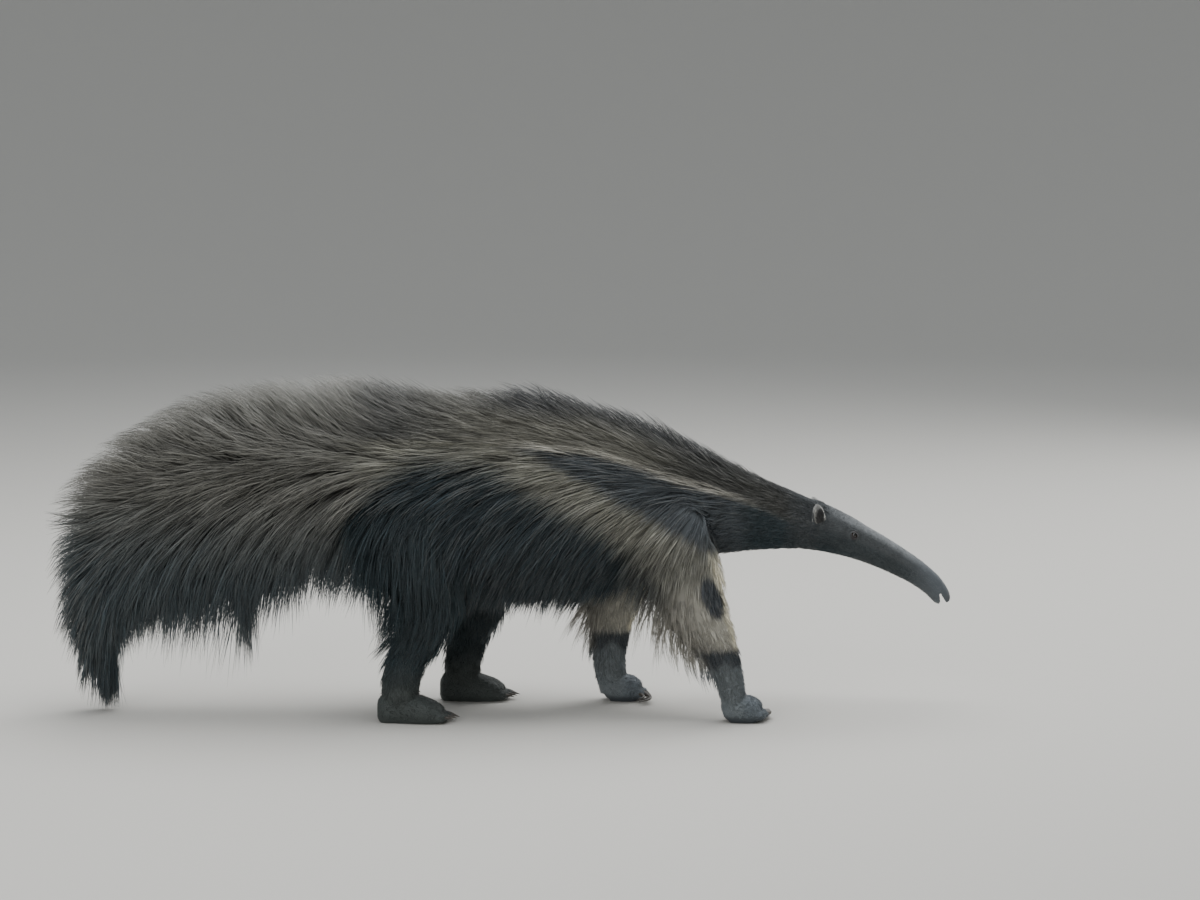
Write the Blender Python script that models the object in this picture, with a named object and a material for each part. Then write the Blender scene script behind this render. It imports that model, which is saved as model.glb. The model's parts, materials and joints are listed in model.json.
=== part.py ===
"""Giant anteater, life size, walking. Metres, +Z up, +X towards the snout, +Y the animal's left.

The body is a chain of smooth tubes: tail, torso, neck and head along one spine, and four legs.
Each piece is a closed solid, and neighbours meet face to face. The long coat is made of flat,
tapered locks, rooted in the piece that they grow from and joined to it.
"""

import math
import random

import bmesh
import bpy
import numpy as np
from mathutils import Matrix, Vector
from mathutils.bvhtree import BVHTree

# Room that touching pieces keep between them
GAP = 0.0003

# The shortest edge that joining leaves, and the grids on which a joined mesh stays closed
SHORTEST_EDGE = 0.00002
NEARLY_MEET = (1e-7, 1e-6, 3e-6)

# Rows of the spine, from the tail's end to the tip of the snout, in the animal's middle plane:
# forward place, height, half height and half width of the section across the spine there.
# On the tail and torso they include the undercoat.
SPINE = [
    (-0.888, 0.150, 0.012, 0.010),
    (-0.874, 0.220, 0.036, 0.030),
    (-0.840, 0.300, 0.064, 0.048),
    (-0.780, 0.382, 0.096, 0.062),
    (-0.688, 0.448, 0.126, 0.075),
    (-0.570, 0.490, 0.144, 0.086),
    (-0.450, 0.506, 0.142, 0.096),
    (-0.330, 0.505, 0.132, 0.108),
    (-0.220, 0.490, 0.160, 0.130),
    (-0.090, 0.468, 0.185, 0.146),
    (0.060, 0.462, 0.190, 0.150),
    (0.200, 0.450, 0.178, 0.140),
    (0.325, 0.442, 0.143, 0.116),
    (0.440, 0.436, 0.104, 0.088),
    (0.540, 0.428, 0.080, 0.068),
    (0.635, 0.418, 0.062, 0.055),
    (0.690, 0.406, 0.0530, 0.0500),
    (0.740, 0.389, 0.0455, 0.0440),
    (0.786, 0.369, 0.0385, 0.0355),
    (0.830, 0.348, 0.0340, 0.0305),
    (0.872, 0.325, 0.0300, 0.0270),
    (0.910, 0.301, 0.0265, 0.0245),
    (0.941, 0.275, 0.0235, 0.0225),
    (0.960, 0.250, 0.0195, 0.0200),
    (0.966, 0.238, 0.0110, 0.0130),
]

# Places along the spine, counted in its rows, where one piece ends and the next begins
TAIL_END, TAIL_MIDDLE, TAIL_ROOT = 3.6, 5.4, 7
NECK, HEAD, SNOUT_TIP = 13, 15, len(SPINE) - 1
SPINE_SIDES = 18
SQUARENESS = 2.2

# Rows of each leg, from inside the body down into the foot: forward place, distance from
# the middle plane, height, half length and half width of the section across the leg.
RIGHT_FORE = [
    (0.335, 0.050, 0.480, 0.080, 0.040),
    (0.360, 0.082, 0.410, 0.094, 0.058),
    (0.386, 0.100, 0.330, 0.096, 0.062),
    (0.412, 0.110, 0.255, 0.083, 0.056),
    (0.448, 0.115, 0.190, 0.061, 0.048),
    (0.474, 0.120, 0.140, 0.045, 0.041),
    (0.488, 0.120, 0.095, 0.037, 0.036),
    (0.495, 0.120, 0.055, 0.035, 0.034),
    (0.503, 0.120, 0.022, 0.034, 0.032),
]
LEFT_FORE = [
    (0.305, 0.050, 0.480, 0.080, 0.040),
    (0.300, 0.082, 0.410, 0.094, 0.058),
    (0.275, 0.100, 0.330, 0.090, 0.062),
    (0.248, 0.110, 0.255, 0.078, 0.056),
    (0.238, 0.115, 0.190, 0.058, 0.048),
    (0.238, 0.120, 0.140, 0.045, 0.041),
    (0.236, 0.120, 0.095, 0.037, 0.036),
    (0.240, 0.120, 0.055, 0.035, 0.034),
    (0.248, 0.120, 0.022, 0.034, 0.032),
]
RIGHT_HIND = [
    (-0.225, 0.050, 0.520, 0.080, 0.040),
    (-0.200, 0.086, 0.440, 0.112, 0.060),
    (-0.168, 0.104, 0.355, 0.110, 0.068),
    (-0.148, 0.112, 0.275, 0.086, 0.058),
    (-0.166, 0.116, 0.200, 0.061, 0.046),
    (-0.198, 0.120, 0.140, 0.047, 0.040),
    (-0.212, 0.120, 0.090, 0.042, 0.038),
    (-0.215, 0.120, 0.050, 0.040, 0.036),
    (-0.210, 0.120, 0.022, 0.036, 0.032),
]
LEFT_HIND = [
    (-0.200, 0.050, 0.520, 0.080, 0.040),
    (-0.165, 0.086, 0.440, 0.110, 0.060),
    (-0.108, 0.104, 0.355, 0.105, 0.068),
    (-0.058, 0.112, 0.275, 0.085, 0.058),
    (-0.055, 0.116, 0.200, 0.061, 0.046),
    (-0.078, 0.120, 0.140, 0.047, 0.040),
    (-0.088, 0.120, 0.090, 0.042, 0.038),
    (-0.091, 0.120, 0.050, 0.040, 0.036),
    (-0.086, 0.120, 0.022, 0.036, 0.032),
]
LEG_SIDES = 10

# The row where each leg ends and its foot begins
ANKLE = 6

# Where the rings of a long and a short lock lie along it after the root, and how wide each
# ring is, from the root on. The root is sunk into the body.
LONG_LOCK = ((0.28, 0.56, 0.82), (0.50, 1.0, 0.86, 0.48))
SHORT_LOCK = ((0.38, 0.74), (0.50, 1.0, 0.66))
LOCK_SINK = 0.014

# Tries at growing a sound coat, and at bending a lock clear of the other pieces, with the
# room that it keeps to them and to the floor
GROWINGS = 12
BENDS = 9
LOCK_ROOM = 0.0006
FLOOR_ROOM = 0.003

# Coats, from the tail's end forwards. Each has rows of locks between two places of its tube,
# at angles from the top (or front of a leg), with their lengths and widths from the first
# row to the last. start and end are the directions of a lock's root and tip at the top and
# at the bottom of the tube: along the tube towards the head or foot, off its surface, up.
TAIL_LIE = {"thick": 0.010, "side": 0.3, "upright": 0.45, "long": True}
HANGING = (-0.35, 0.6, -0.5), (-0.25, 0.0, -1.0)
COATS = {
    "tail_end": [
        {"places": (0.6, 3.3), "rows": 5, "angles": (0, 60, 120, 180),
         "lengths": (0.11, 0.14, 0.17), "widths": (0.046, 0.092), **TAIL_LIE,
         "start": ((-0.95, 0.35, 0.0), HANGING[0]), "end": ((-0.9, 0.0, -0.45), HANGING[1])},
        {"places": (0.4, 0.5), "rows": 1, "angles": (180,), "lengths": (0.185, 0.185),
         "widths": (0.034, 0.034), "start": ((-0.7, 0.4, 0), (-0.7, 0.4, 0)),
         "end": ((0, 0, -1), (0, 0, -1)), "thick": 0.008, "upright": 2, "long": True},
    ],
    "tail_middle": [
        {"places": (3.85, 5.15), "rows": 3, "angles": (0, 45, 90, 135, 180),
         "lengths": (0.18, 0.20), "widths": (0.085, 0.092), **TAIL_LIE,
         "start": ((-0.9, 0.50, 0.0), HANGING[0]), "end": ((-1.0, 0.0, -0.35), HANGING[1])},
        {"places": (4.1, 5.05), "rows": 2, "angles": (166,), "lengths": (0.21, 0.18),
         "widths": (0.080, 0.080), "thick": 0.010, "upright": 2, "long": True,
         "start": (HANGING[0], HANGING[0]), "end": (HANGING[1], HANGING[1])},
    ],
    "tail_root": [
        {"places": (5.65, 6.75), "rows": 3, "angles": (0, 45, 90, 135, 180),
         "lengths": (0.20, 0.19), "widths": (0.095, 0.100), **TAIL_LIE,
         "start": ((-0.9, 0.60, 0.0), HANGING[0]), "end": ((-1.0, 0.10, -0.05), HANGING[1])},
        {"places": (5.75, 6.5), "rows": 2, "angles": (166,), "lengths": (0.16, 0.13),
         "widths": (0.080, 0.080), "thick": 0.010, "upright": 2, "long": True,
         "start": (HANGING[0], HANGING[0]), "end": (HANGING[1], HANGING[1])},
    ],
    "torso": [
        {"places": (7.4, 12.6), "rows": 10, "angles": (0,), "lengths": (0.18, 0.14, 0.17),
         "widths": (0.085, 0.080), "thick": 0.011, "upright": 2, "long": True,
         "start": ((-0.8, 0.75, 0.0), (0, 0, 0)), "end": ((-1.0, 0.15, 0.0), (0, 0, 0))},
        {"places": (7.5, 12.5), "rows": 7, "angles": (24, 60, 96), "lengths": (0.19, 0.16),
         "widths": (0.110, 0.095), "thick": 0.010,
         "start": ((-0.9, 0.35, 0.0), (-0.6, 0.3, -0.5)),
         "end": ((-0.95, 0.1, -0.1), (-0.35, 0.0, -1.0))},
        {"places": (7.25, 7.9), "rows": 2, "angles": (150, 180), "lengths": (0.16, 0.12),
         "widths": (0.080, 0.080), "thick": 0.010, "upright": 2,
         "start": ((-0.4, 0.5, -0.5), (-0.4, 0.5, -0.5)),
         "end": ((-0.2, 0.0, -1.0), (-0.2, 0.0, -1.0))},
        {"places": (8.7, 11.2), "rows": 4, "angles": (122, 158), "lengths": (0.12, 0.11),
         "widths": (0.080, 0.080), "thick": 0.010, "upright": 2, "staggered": False,
         "start": ((-0.4, 0.5, -0.5), (-0.4, 0.5, -0.5)),
         "end": ((-0.2, 0.0, -1.0), (-0.2, 0.0, -1.0))},
    ],
    "neck": [
        {"places": (13.15, 14.7), "rows": 5, "angles": (0,), "lengths": (0.16, 0.07),
         "widths": (0.070, 0.045), "thick": 0.009, "upright": 2,
         "start": ((-0.8, 0.80, 0.0), (0, 0, 0)), "end": ((-1.0, 0.28, 0.0), (0, 0, 0))},
        {"places": (13.35, 14.6), "rows": 2, "angles": (38, 80, 122, 164),
         "lengths": (0.12, 0.09), "widths": (0.065, 0.055), "thick": 0.008,
         "start": ((-1.0, 0.25, 0.0), (-1.0, 0.25, 0.0)),
         "end": ((-1.0, 0.0, -0.1), (-1.0, 0.0, -0.2))},
    ],
    "foreleg": [
        {"places": (1.7, 2.4), "rows": 2, "angles": (60, 90, 120), "lengths": (0.14, 0.14),
         "widths": (0.070, 0.070), "thick": 0.008, "both": False,
         "start": ((0.9, 0.3, 0.0), (0.9, 0.3, 0.0)), "end": ((1.0, 0.0, 0.0), (1.0, 0.0, -0.2))},
        {"places": (3.0, 3.6), "rows": 2, "angles": (0, 60, 120), "lengths": (0.12, 0.11),
         "widths": (0.075, 0.075), "thick": 0.008, "both": False,
         "start": ((0.9, 0.35, 0.0), (0.8, 0.4, 0.0)), "end": ((1.0, 0.0, 0.0), (1.0, 0.1, -0.3))},
        {"places": (3.4, 5.2), "rows": 4, "angles": (180,), "lengths": (0.10, 0.08),
         "widths": (0.055, 0.045), "thick": 0.008, "upright": 2, "both": False,
         "start": ((0.5, 0.6, 0.0), (0.6, 0.7, 0.0)), "end": ((1.0, 0.1, 0.0), (1.0, 0.2, 0.0))},
        {"places": (4.3, 4.9), "rows": 1, "angles": (0, 72, 144), "lengths": (0.09, 0.09),
         "widths": (0.050, 0.050), "thick": 0.007,
         "start": ((0.95, 0.2, 0.0), (0.9, 0.3, 0.0)), "end": ((1.0, 0.0, 0.0), (1.0, 0.0, 0.0))},
    ],
    "hindleg": [
        {"places": (1.5, 2.2), "rows": 2, "angles": (60, 90, 120), "lengths": (0.16, 0.16),
         "widths": (0.080, 0.080), "thick": 0.009, "both": False,
         "start": ((0.9, 0.3, 0.0), (0.9, 0.3, 0.0)), "end": ((1.0, 0.0, 0.0), (1.0, 0.0, -0.2))},
        {"places": (2.8, 3.5), "rows": 2, "angles": (0, 60, 120), "lengths": (0.14, 0.13),
         "widths": (0.085, 0.080), "thick": 0.009, "both": False,
         "start": ((0.9, 0.35, 0.0), (0.8, 0.4, 0.0)), "end": ((1.0, 0.0, 0.0), (1.0, 0.1, -0.3))},
        {"places": (3.4, 5.2), "rows": 4, "angles": (180,), "lengths": (0.11, 0.09),
         "widths": (0.060, 0.050), "thick": 0.009, "upright": 2, "both": False,
         "start": ((0.5, 0.6, 0.0), (0.6, 0.7, 0.0)), "end": ((1.0, 0.1, 0.0), (1.0, 0.2, 0.0))},
        {"places": (4.3, 4.9), "rows": 1, "angles": (0, 72, 144), "lengths": (0.10, 0.10),
         "widths": (0.055, 0.055), "thick": 0.008,
         "start": ((0.95, 0.2, 0.0), (0.9, 0.3, 0.0)), "end": ((1.0, 0.0, 0.0), (1.0, 0.0, 0.0))},
    ],
}

# Eye, ear, mouth and nostrils
EYE_PLACE, EYE_ANGLE, EYE_RADIUS = 17.42, 74, 0.0085
EAR_PLACE, EAR_ANGLE, EAR_HEIGHT = 15.9, 78, 0.054
MOUTH_DEPTH, MOUTH_OPENING = 0.034, 0.013

# Colours of the coat, the bare skin and the horn of the claws
GRIZZLED = (0.080, 0.076, 0.066, 1.0)
DARK = (0.022, 0.024, 0.026, 1.0)
PALE = (0.300, 0.280, 0.230, 1.0)
SNOUT = (0.070, 0.070, 0.070, 1.0)
EYE = (0.010, 0.008, 0.006, 1.0)


def clear_scene():
    for thing in list(bpy.data.objects):
        bpy.data.objects.remove(thing)


def material(name, colour, roughness):
    made = bpy.data.materials.new(name)
    made.use_nodes = True
    shader = made.node_tree.nodes["Principled BSDF"]
    shader.inputs["Base Color"].default_value = colour
    shader.inputs["Roughness"].default_value = roughness
    shader.inputs["Metallic"].default_value = 0.0
    return made


def row_at(rows, place):
    """The row at a place between two of them, on the smooth curve through them all."""
    keys = np.array(rows, float)
    last = len(keys) - 1
    first = min(int(place), last - 1)
    share = place - first
    a, b = keys[first], keys[first + 1]
    before = keys[max(first - 1, 0)]
    after = keys[min(first + 2, last)]
    slope_a, slope_b = (b - before) / 2, (after - a) / 2
    share2, share3 = share**2, share**3
    return (
        (2 * share3 - 3 * share2 + 1) * a
        + (share3 - 2 * share2 + share) * slope_a
        + (3 * share2 - 2 * share3) * b
        + (share3 - share2) * slope_b
    )


def spine_rows():
    """The spine's rows as those of any tube, with a distance of 0 from the middle plane."""
    return [(x, 0.0, z, tall, wide) for x, z, tall, wide in SPINE]


def leg_rows(rows, side):
    """side is -1 for a right leg and 1 for a left one."""
    return [(x, side * y, z, long, wide) for x, y, z, long, wide in rows]


def section_at(rows, place):
    """Centre, direction along the tube, its two cross directions and half sizes."""
    step = 0.02
    last = len(rows) - 1
    row = row_at(rows, place)
    ahead = row_at(rows, min(place + step, last))
    behind = row_at(rows, max(place - step, 0))
    along = Vector(ahead[:3] - behind[:3]).normalized()
    side = Vector((0, 1, 0))
    side = (side - along * side.dot(along)).normalized()
    up = along.cross(side)
    return Vector(row[:3]), along, side, up, row[3], row[4]


def tube_point(rows, place, angle):
    """The point of a tube's surface at an angle from its top, or front on a leg, towards +Y."""
    centre, along, side, up, tall, wide = section_at(rows, place)
    c, s = math.cos(angle), math.sin(angle)
    up_part = math.copysign(abs(c) ** (2 / SQUARENESS), c) * tall
    side_part = math.copysign(abs(s) ** (2 / SQUARENESS), s) * wide
    return centre + up * up_part + side * side_part


def outward_at(rows, place, angle):
    """The direction that a tube's surface faces at that point."""
    centre, along, side, up, tall, wide = section_at(rows, place)
    return (up * math.cos(angle) * wide + side * math.sin(angle) * tall).normalized()


def new_object(name, mesh, skin):
    thing = bpy.data.objects.new(name, mesh)
    bpy.context.scene.collection.objects.link(thing)
    mesh.materials.clear()
    mesh.materials.append(skin)
    return thing


def ring_mesh(name, rings):
    """A closed mesh through rings of points, with a flat cap at each end."""
    form = bmesh.new()
    loops = [[form.verts.new(point) for point in ring] for ring in rings]
    count = len(loops[0])
    for near, far in zip(loops, loops[1:]):
        for i in range(count):
            j = (i + 1) % count
            form.faces.new((near[i], near[j], far[j], far[i]))
    for loop in (loops[0], loops[-1]):
        middle = sum((v.co for v in loop), Vector()) / count
        centre = form.verts.new(middle)
        for i in range(count):
            form.faces.new((loop[i], loop[(i + 1) % count], centre))
    bmesh.ops.recalc_face_normals(form, faces=form.faces)
    mesh = bpy.data.meshes.new(name)
    form.to_mesh(mesh)
    form.free()
    return mesh


def tube(name, rows, first, last, rings, sides, skin, meets=(False, False), floor=None):
    """A solid along a tube from one place to another. An end that meets a neighbour keeps
    half the gap to it."""
    loops = []
    places = np.linspace(first, last, rings)
    for number, place in enumerate(places):
        points = [
            tube_point(rows, place, 2 * math.pi * i / sides) for i in range(sides)
        ]
        along = section_at(rows, place)[1]
        if number == 0 and meets[0]:
            points = [point + along * GAP / 2 for point in points]
        if number == rings - 1 and meets[1]:
            points = [point - along * GAP / 2 for point in points]
        if floor is not None:
            points = [Vector((p.x, p.y, max(p.z, floor))) for p in points]
        loops.append(points)
    return new_object(name, ring_mesh(name, loops), skin)


def apply_modifiers(thing):
    """Keeps the object's mesh as its modifiers leave it."""
    graph = bpy.context.evaluated_depsgraph_get()
    made = bpy.data.meshes.new_from_object(thing.evaluated_get(graph))
    thing.modifiers.clear()
    thing.data = made


def keep_largest(thing):
    """Drops every closed surface of the object but the largest."""
    form = bmesh.new()
    form.from_mesh(thing.data)
    bmesh.ops.triangulate(form, faces=form.faces)
    bmesh.ops.dissolve_degenerate(form, edges=form.edges, dist=SHORTEST_EDGE)
    bmesh.ops.triangulate(form, faces=form.faces)
    form.faces.ensure_lookup_table()
    body_of = [None] * len(form.faces)
    bodies = []
    for first in form.faces:
        if body_of[first.index] is not None:
            continue
        body, edge = [], [first]
        body_of[first.index] = len(bodies)
        while edge:
            face = edge.pop()
            body.append(face)
            for side in face.edges:
                if len(side.link_faces) != 2:
                    continue
                for other in side.link_faces:
                    if body_of[other.index] is None:
                        body_of[other.index] = len(bodies)
                        edge.append(other)
        bodies.append(body)
    bodies.sort(key=len)
    dropped = [face for body in bodies[:-1] for face in body]
    bmesh.ops.delete(form, geom=dropped, context="FACES")
    form.to_mesh(thing.data)
    form.free()


def is_sound(mesh):
    """Whether a mesh of triangles stays closed when points that nearly meet are made one."""
    points = np.array([vert.co for vert in mesh.vertices])
    faces = np.array([face.vertices for face in mesh.polygons])
    for grid in NEARLY_MEET:
        _, place = np.unique(np.round(points / grid), axis=0, return_inverse=True)
        corners = place.reshape(-1)[faces]
        whole = np.all(corners != np.roll(corners, 1, axis=1), axis=1)
        corners = corners[whole]
        ends = np.concatenate([corners[:, [0, 1]], corners[:, [1, 2]], corners[:, [2, 0]]])
        _, shared = np.unique(np.sort(ends, axis=1), axis=0, return_counts=True)
        if np.any(shared != 2):
            return False
    return True


def cut(thing, cutters, solver="EXACT"):
    """Cuts the cutters from the object and removes them."""
    for number, cutter in enumerate(cutters):
        modifier = thing.modifiers.new(f"cut {number}", "BOOLEAN")
        modifier.operation = "DIFFERENCE"
        modifier.solver = solver
        modifier.object = cutter
    apply_modifiers(thing)
    for cutter in cutters:
        bpy.data.objects.remove(cutter)
    keep_largest(thing)


def join(thing, pieces, solver="EXACT"):
    """Joins the pieces to the object by one union, and removes them."""
    group = bpy.data.collections.new("pieces")
    bpy.context.scene.collection.children.link(group)
    for piece in pieces:
        bpy.context.scene.collection.objects.unlink(piece)
        group.objects.link(piece)
    modifier = thing.modifiers.new("join", "BOOLEAN")
    modifier.operation = "UNION"
    modifier.operand_type = "COLLECTION"
    modifier.solver = solver
    modifier.collection = group
    apply_modifiers(thing)
    for piece in pieces:
        bpy.data.objects.remove(piece)
    bpy.data.collections.remove(group)
    keep_largest(thing)


def swollen_copy(thing, by=GAP):
    """A copy of the object that is larger by the gap on every side, to cut with."""
    copy = thing.copy()
    copy.data = thing.data.copy()
    bpy.context.scene.collection.objects.link(copy)
    normals = [vert.normal.copy() for vert in copy.data.vertices]
    for vert, normal in zip(copy.data.vertices, normals):
        vert.co += normal * by
    copy.hide_render = True
    copy.display_type = "WIRE"
    return copy


def ball(name, centre, sizes, skin, turn=None, fine=12):
    """An ellipsoid of the given half sizes."""
    form = bmesh.new()
    bmesh.ops.create_uvsphere(form, u_segments=fine, v_segments=fine // 2 + 1, radius=1)
    spin = turn if turn is not None else Matrix.Identity(3)
    for vert in form.verts:
        stretched = Vector([c * size for c, size in zip(vert.co, sizes)])
        vert.co = Vector(centre) + spin @ stretched
    mesh = bpy.data.meshes.new(name)
    form.to_mesh(mesh)
    form.free()
    return new_object(name, mesh, skin)


def form_of(things):
    """A search tree over the faces of some objects."""
    points, faces = [], []
    for thing in things:
        offset = len(points)
        points += [vert.co.copy() for vert in thing.data.vertices]
        faces += [[offset + i for i in face.vertices] for face in thing.data.polygons]
    return BVHTree.FromPolygons(points, faces)


def heading(along, out, onward, outward, rise):
    """A direction from its parts: along the tube, off its surface and upwards."""
    return (along * onward + out * outward + Vector((0, 0, rise))).normalized()


def lock_path(body, root, out, start, end, length, thick, times):
    """Points of a lock's middle line, and the way it faces at each. It leaves its sunk root
    along start, bends to end and stays clear of the body."""
    spots, outs = [root - out * LOCK_SINK], [out]
    point, before = root.copy(), 0.0
    for time in (*times, 1.0):
        along = (start * (1 - time) + end * time).normalized()
        point = point + along * length * (time - before)
        place, normal, _, distance = body.find_nearest(point)
        room = thick * 0.8
        if (point - place).dot(normal) < 0 or distance < room:
            point = place + normal * room
        spots.append(point.copy())
        outs.append(normal)
        before = time
    return spots, outs


def lock_form(spots, outs, width, thick, widths, facing, room=0.0):
    """Points and faces of a flat, tapered lock along a path, with some room all round."""
    points = []
    for number, share in enumerate(widths):
        along = (spots[number + 1] - spots[max(number - 1, 0)]).normalized()
        side = along.cross(facing or outs[number]).normalized()
        over = side.cross(along)
        wide = width * share / 2 + room
        deep = thick * (0.5 - 0.09 * number) + room
        for across, above in ((wide, 0), (0, deep), (-wide, 0), (0, -deep)):
            points.append(spots[number] + side * across + over * above)
    last_step = (spots[-1] - spots[-2]).normalized()
    points.append(spots[-1] + last_step * room * 2)
    faces = [(0, 1, 2), (0, 2, 3)]
    last = 4 * (len(widths) - 1)
    for ring in range(0, last, 4):
        for i in range(4):
            j = (i + 1) % 4
            faces.append((ring + i, ring + 4 + i, ring + 4 + j))
            faces.append((ring + i, ring + 4 + j, ring + j))
    for i in range(4):
        faces.append((last + i, len(points) - 1, last + (i + 1) % 4))
    return points, faces


def crosses_itself(tree, faces):
    return any(not set(faces[a]) & set(faces[b]) for a, b in tree.overlap(tree))


def lock_object(points, faces, skin):
    mesh = bpy.data.meshes.new("lock")
    mesh.from_pydata(points, [], faces)
    form = bmesh.new()
    form.from_mesh(mesh)
    bmesh.ops.recalc_face_normals(form, faces=form.faces)
    bmesh.ops.triangulate(form, faces=form.faces)
    form.to_mesh(mesh)
    form.free()
    return new_object("lock", mesh, skin)


def grow(thing, rows, coats, side, body, others, draw):
    """Grows every lock of the coats from the object, bent clear of the other pieces. side
    is -1 where the angles count the other way, as on a right leg."""
    for attempt in range(GROWINGS):
        bare = thing.data.copy()
        locks = [
            made
            for coat in coats
            for made in locks_of(thing, rows, coat, side, body, others, draw)
        ]
        join(thing, locks, "MANIFOLD")
        if is_sound(thing.data):
            print(f"{thing.name}: {len(locks)} locks, growing {attempt + 1}")
            return
        thing.data = bare
    print(f"{thing.name}: no sound coat")


def locks_of(thing, rows, coat, side, body, others, draw):
    """The locks of one coat, each bent, shortened and narrowed until it is clear."""
    times, widths = LONG_LOCK if coat.get("long") else SHORT_LOCK
    thick = coat["thick"]
    for place, angle in roots_of(coat):
        place += draw.uniform(-0.05, 0.05) * coat.get("loose", 1)
        turn = math.radians(angle + draw.uniform(-4, 4)) * side
        root = tube_point(rows, place, turn)
        out = outward_at(rows, place, turn)
        along = section_at(rows, place)[1]
        low = (1 - math.cos(turn)) / 2
        length = between(coat, "lengths", place) * draw.uniform(0.88, 1.12)
        length *= 1 + coat.get("side", 0) * abs(math.sin(turn))
        width = between(coat, "widths", place) * draw.uniform(0.9, 1.1)
        start = heading(along, out, *blend(coat["start"], low))
        end = heading(along, out, *blend(coat["end"], low))
        facing = Vector((0, 1, 0)) if abs(out.y) < coat.get("upright", 0) else None
        for bend in range(BENDS):
            lift = out * 0.12 * bend
            way = ((start + lift).normalized(), (end + lift * 0.4).normalized())
            size, wide = length * (1 - 0.05 * bend), width * (1 - 0.05 * bend)
            path = lock_path(body, root, out, *way, size, thick, times)
            points, faces = lock_form(*path, wide, thick, widths, facing, LOCK_ROOM)
            tree = BVHTree.FromPolygons(points, faces)
            clear = not any(tree.overlap(other) for other in others)
            if min(point.z for point in points) > FLOOR_ROOM and clear:
                if not crosses_itself(tree, faces):
                    made = lock_form(*path, wide, thick, widths, facing)
                    yield lock_object(*made, thing.data.materials[0])
                    break


def between(coat, key, place):
    """A value of a coat at a place, from those that it lists from its first row to its last."""
    values = coat[key]
    return np.interp(place, np.linspace(*coat["places"], len(values)), values)


def roots_of(coat):
    """Place and angle of every lock of a coat. Each second row is shifted by half a step."""
    first, last = coat["places"]
    for number, place in enumerate(np.linspace(first, last, coat["rows"])):
        angles = coat["angles"]
        if number % 2 and len(angles) > 1 and coat.get("staggered", True):
            angles = [(a + b) / 2 for a, b in zip(angles, angles[1:])]
        if coat.get("both", True):
            angles = [*angles, *(-a for a in angles if a % 180)]
        for angle in angles:
            yield place, angle


def blend(pair, share):
    """Mixes the two rows of a pair: the first at the top, the second at the bottom."""
    return [a * (1 - share) + b * share for a, b in zip(*pair)]


def make_head(rows, skins):
    head = tube("head", rows, HEAD, SNOUT_TIP, 19, SPINE_SIDES, skins["snout"], (True, False))
    lids, eyes = [], []
    for side, name in ((-1, "right"), (1, "left")):
        angle = side * math.radians(EYE_ANGLE)
        place = tube_point(rows, EYE_PLACE, angle)
        out = outward_at(rows, EYE_PLACE, angle)
        along = section_at(rows, EYE_PLACE)[1]
        across = out.cross(along)
        turn = Matrix((along, across, out)).transposed()
        lids.append(
            ball("lid", place - out * 0.003, (0.016, 0.012, 0.0065), skins["snout"], turn)
        )
        centre = place - out * 0.0035
        eye = ball(f"eye_{name}", centre, (EYE_RADIUS,) * 3, skins["eye"], turn, 10)
        eyes.append((eye, centre, turn))
    join(head, lids)
    sockets = [
        ball("socket", centre, (EYE_RADIUS + 1.5 * GAP,) * 3, skins["snout"], turn, 10)
        for _, centre, turn in eyes
    ]
    cut(head, sockets)
    return head


def make_mouth(head, rows, skins):
    """Opens the mouth at the snout's tip and sinks the two nostrils above it."""
    tip, ahead, side, up = section_at(rows, SNOUT_TIP - 0.2)[:4]
    corner = tip - ahead * MOUTH_DEPTH - up * 0.002
    reach = MOUTH_DEPTH + 0.03
    spread = MOUTH_OPENING / MOUTH_DEPTH * reach / 2
    edge = [
        corner,
        corner + ahead * reach + up * spread * 0.7,
        corner + ahead * reach - up * spread * 1.3,
    ]
    form = bmesh.new()
    near = [form.verts.new(p - side * 0.05) for p in edge]
    far = [form.verts.new(p + side * 0.05) for p in edge]
    form.faces.new(near)
    form.faces.new(far)
    for i in range(3):
        form.faces.new((near[i], near[(i + 1) % 3], far[(i + 1) % 3], far[i]))
    bmesh.ops.recalc_face_normals(form, faces=form.faces)
    mesh = bpy.data.meshes.new("mouth")
    form.to_mesh(mesh)
    form.free()
    cutters = [new_object("mouth", mesh, skins["snout"])]
    for sign in (-1, 1):
        place = tip + ahead * 0.004 + up * 0.0075 + side * sign * 0.0068
        turn = Matrix((ahead, side, up)).transposed()
        cutters.append(ball("nostril", place, (0.007, 0.0036, 0.0028), skins["snout"], turn, 8))
    cut(head, cutters)


def make_ears(rows, head, skins):
    """Each ear is a small upright cup that opens forwards and outwards."""
    for sign, name in ((-1, "right"), (1, "left")):
        angle = sign * math.radians(EAR_ANGLE)
        base = tube_point(rows, EAR_PLACE, angle)
        out = outward_at(rows, EAR_PLACE, angle)
        rise = (out * 0.34 + Vector((-0.12, 0, 0.9))).normalized()
        open_way = Vector((0.72, sign * 0.70, 0.0)).normalized()
        open_way = (open_way - rise * open_way.dot(rise)).normalized()
        across = rise.cross(open_way)
        turn = Matrix((across, open_way, rise)).transposed()
        centre = base + rise * EAR_HEIGHT * 0.32
        ear = ball(f"ear_{name}", centre, (0.0160, 0.0085, EAR_HEIGHT / 2), skins["snout"], turn)
        hollow = ball(
            "hollow",
            centre + open_way * 0.0078 + rise * 0.001,
            (0.0126, 0.0098, EAR_HEIGHT / 2 - 0.004),
            skins["snout"],
            turn,
        )
        cut(ear, [hollow])
        cut(ear, [swollen_copy(head)])


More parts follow.
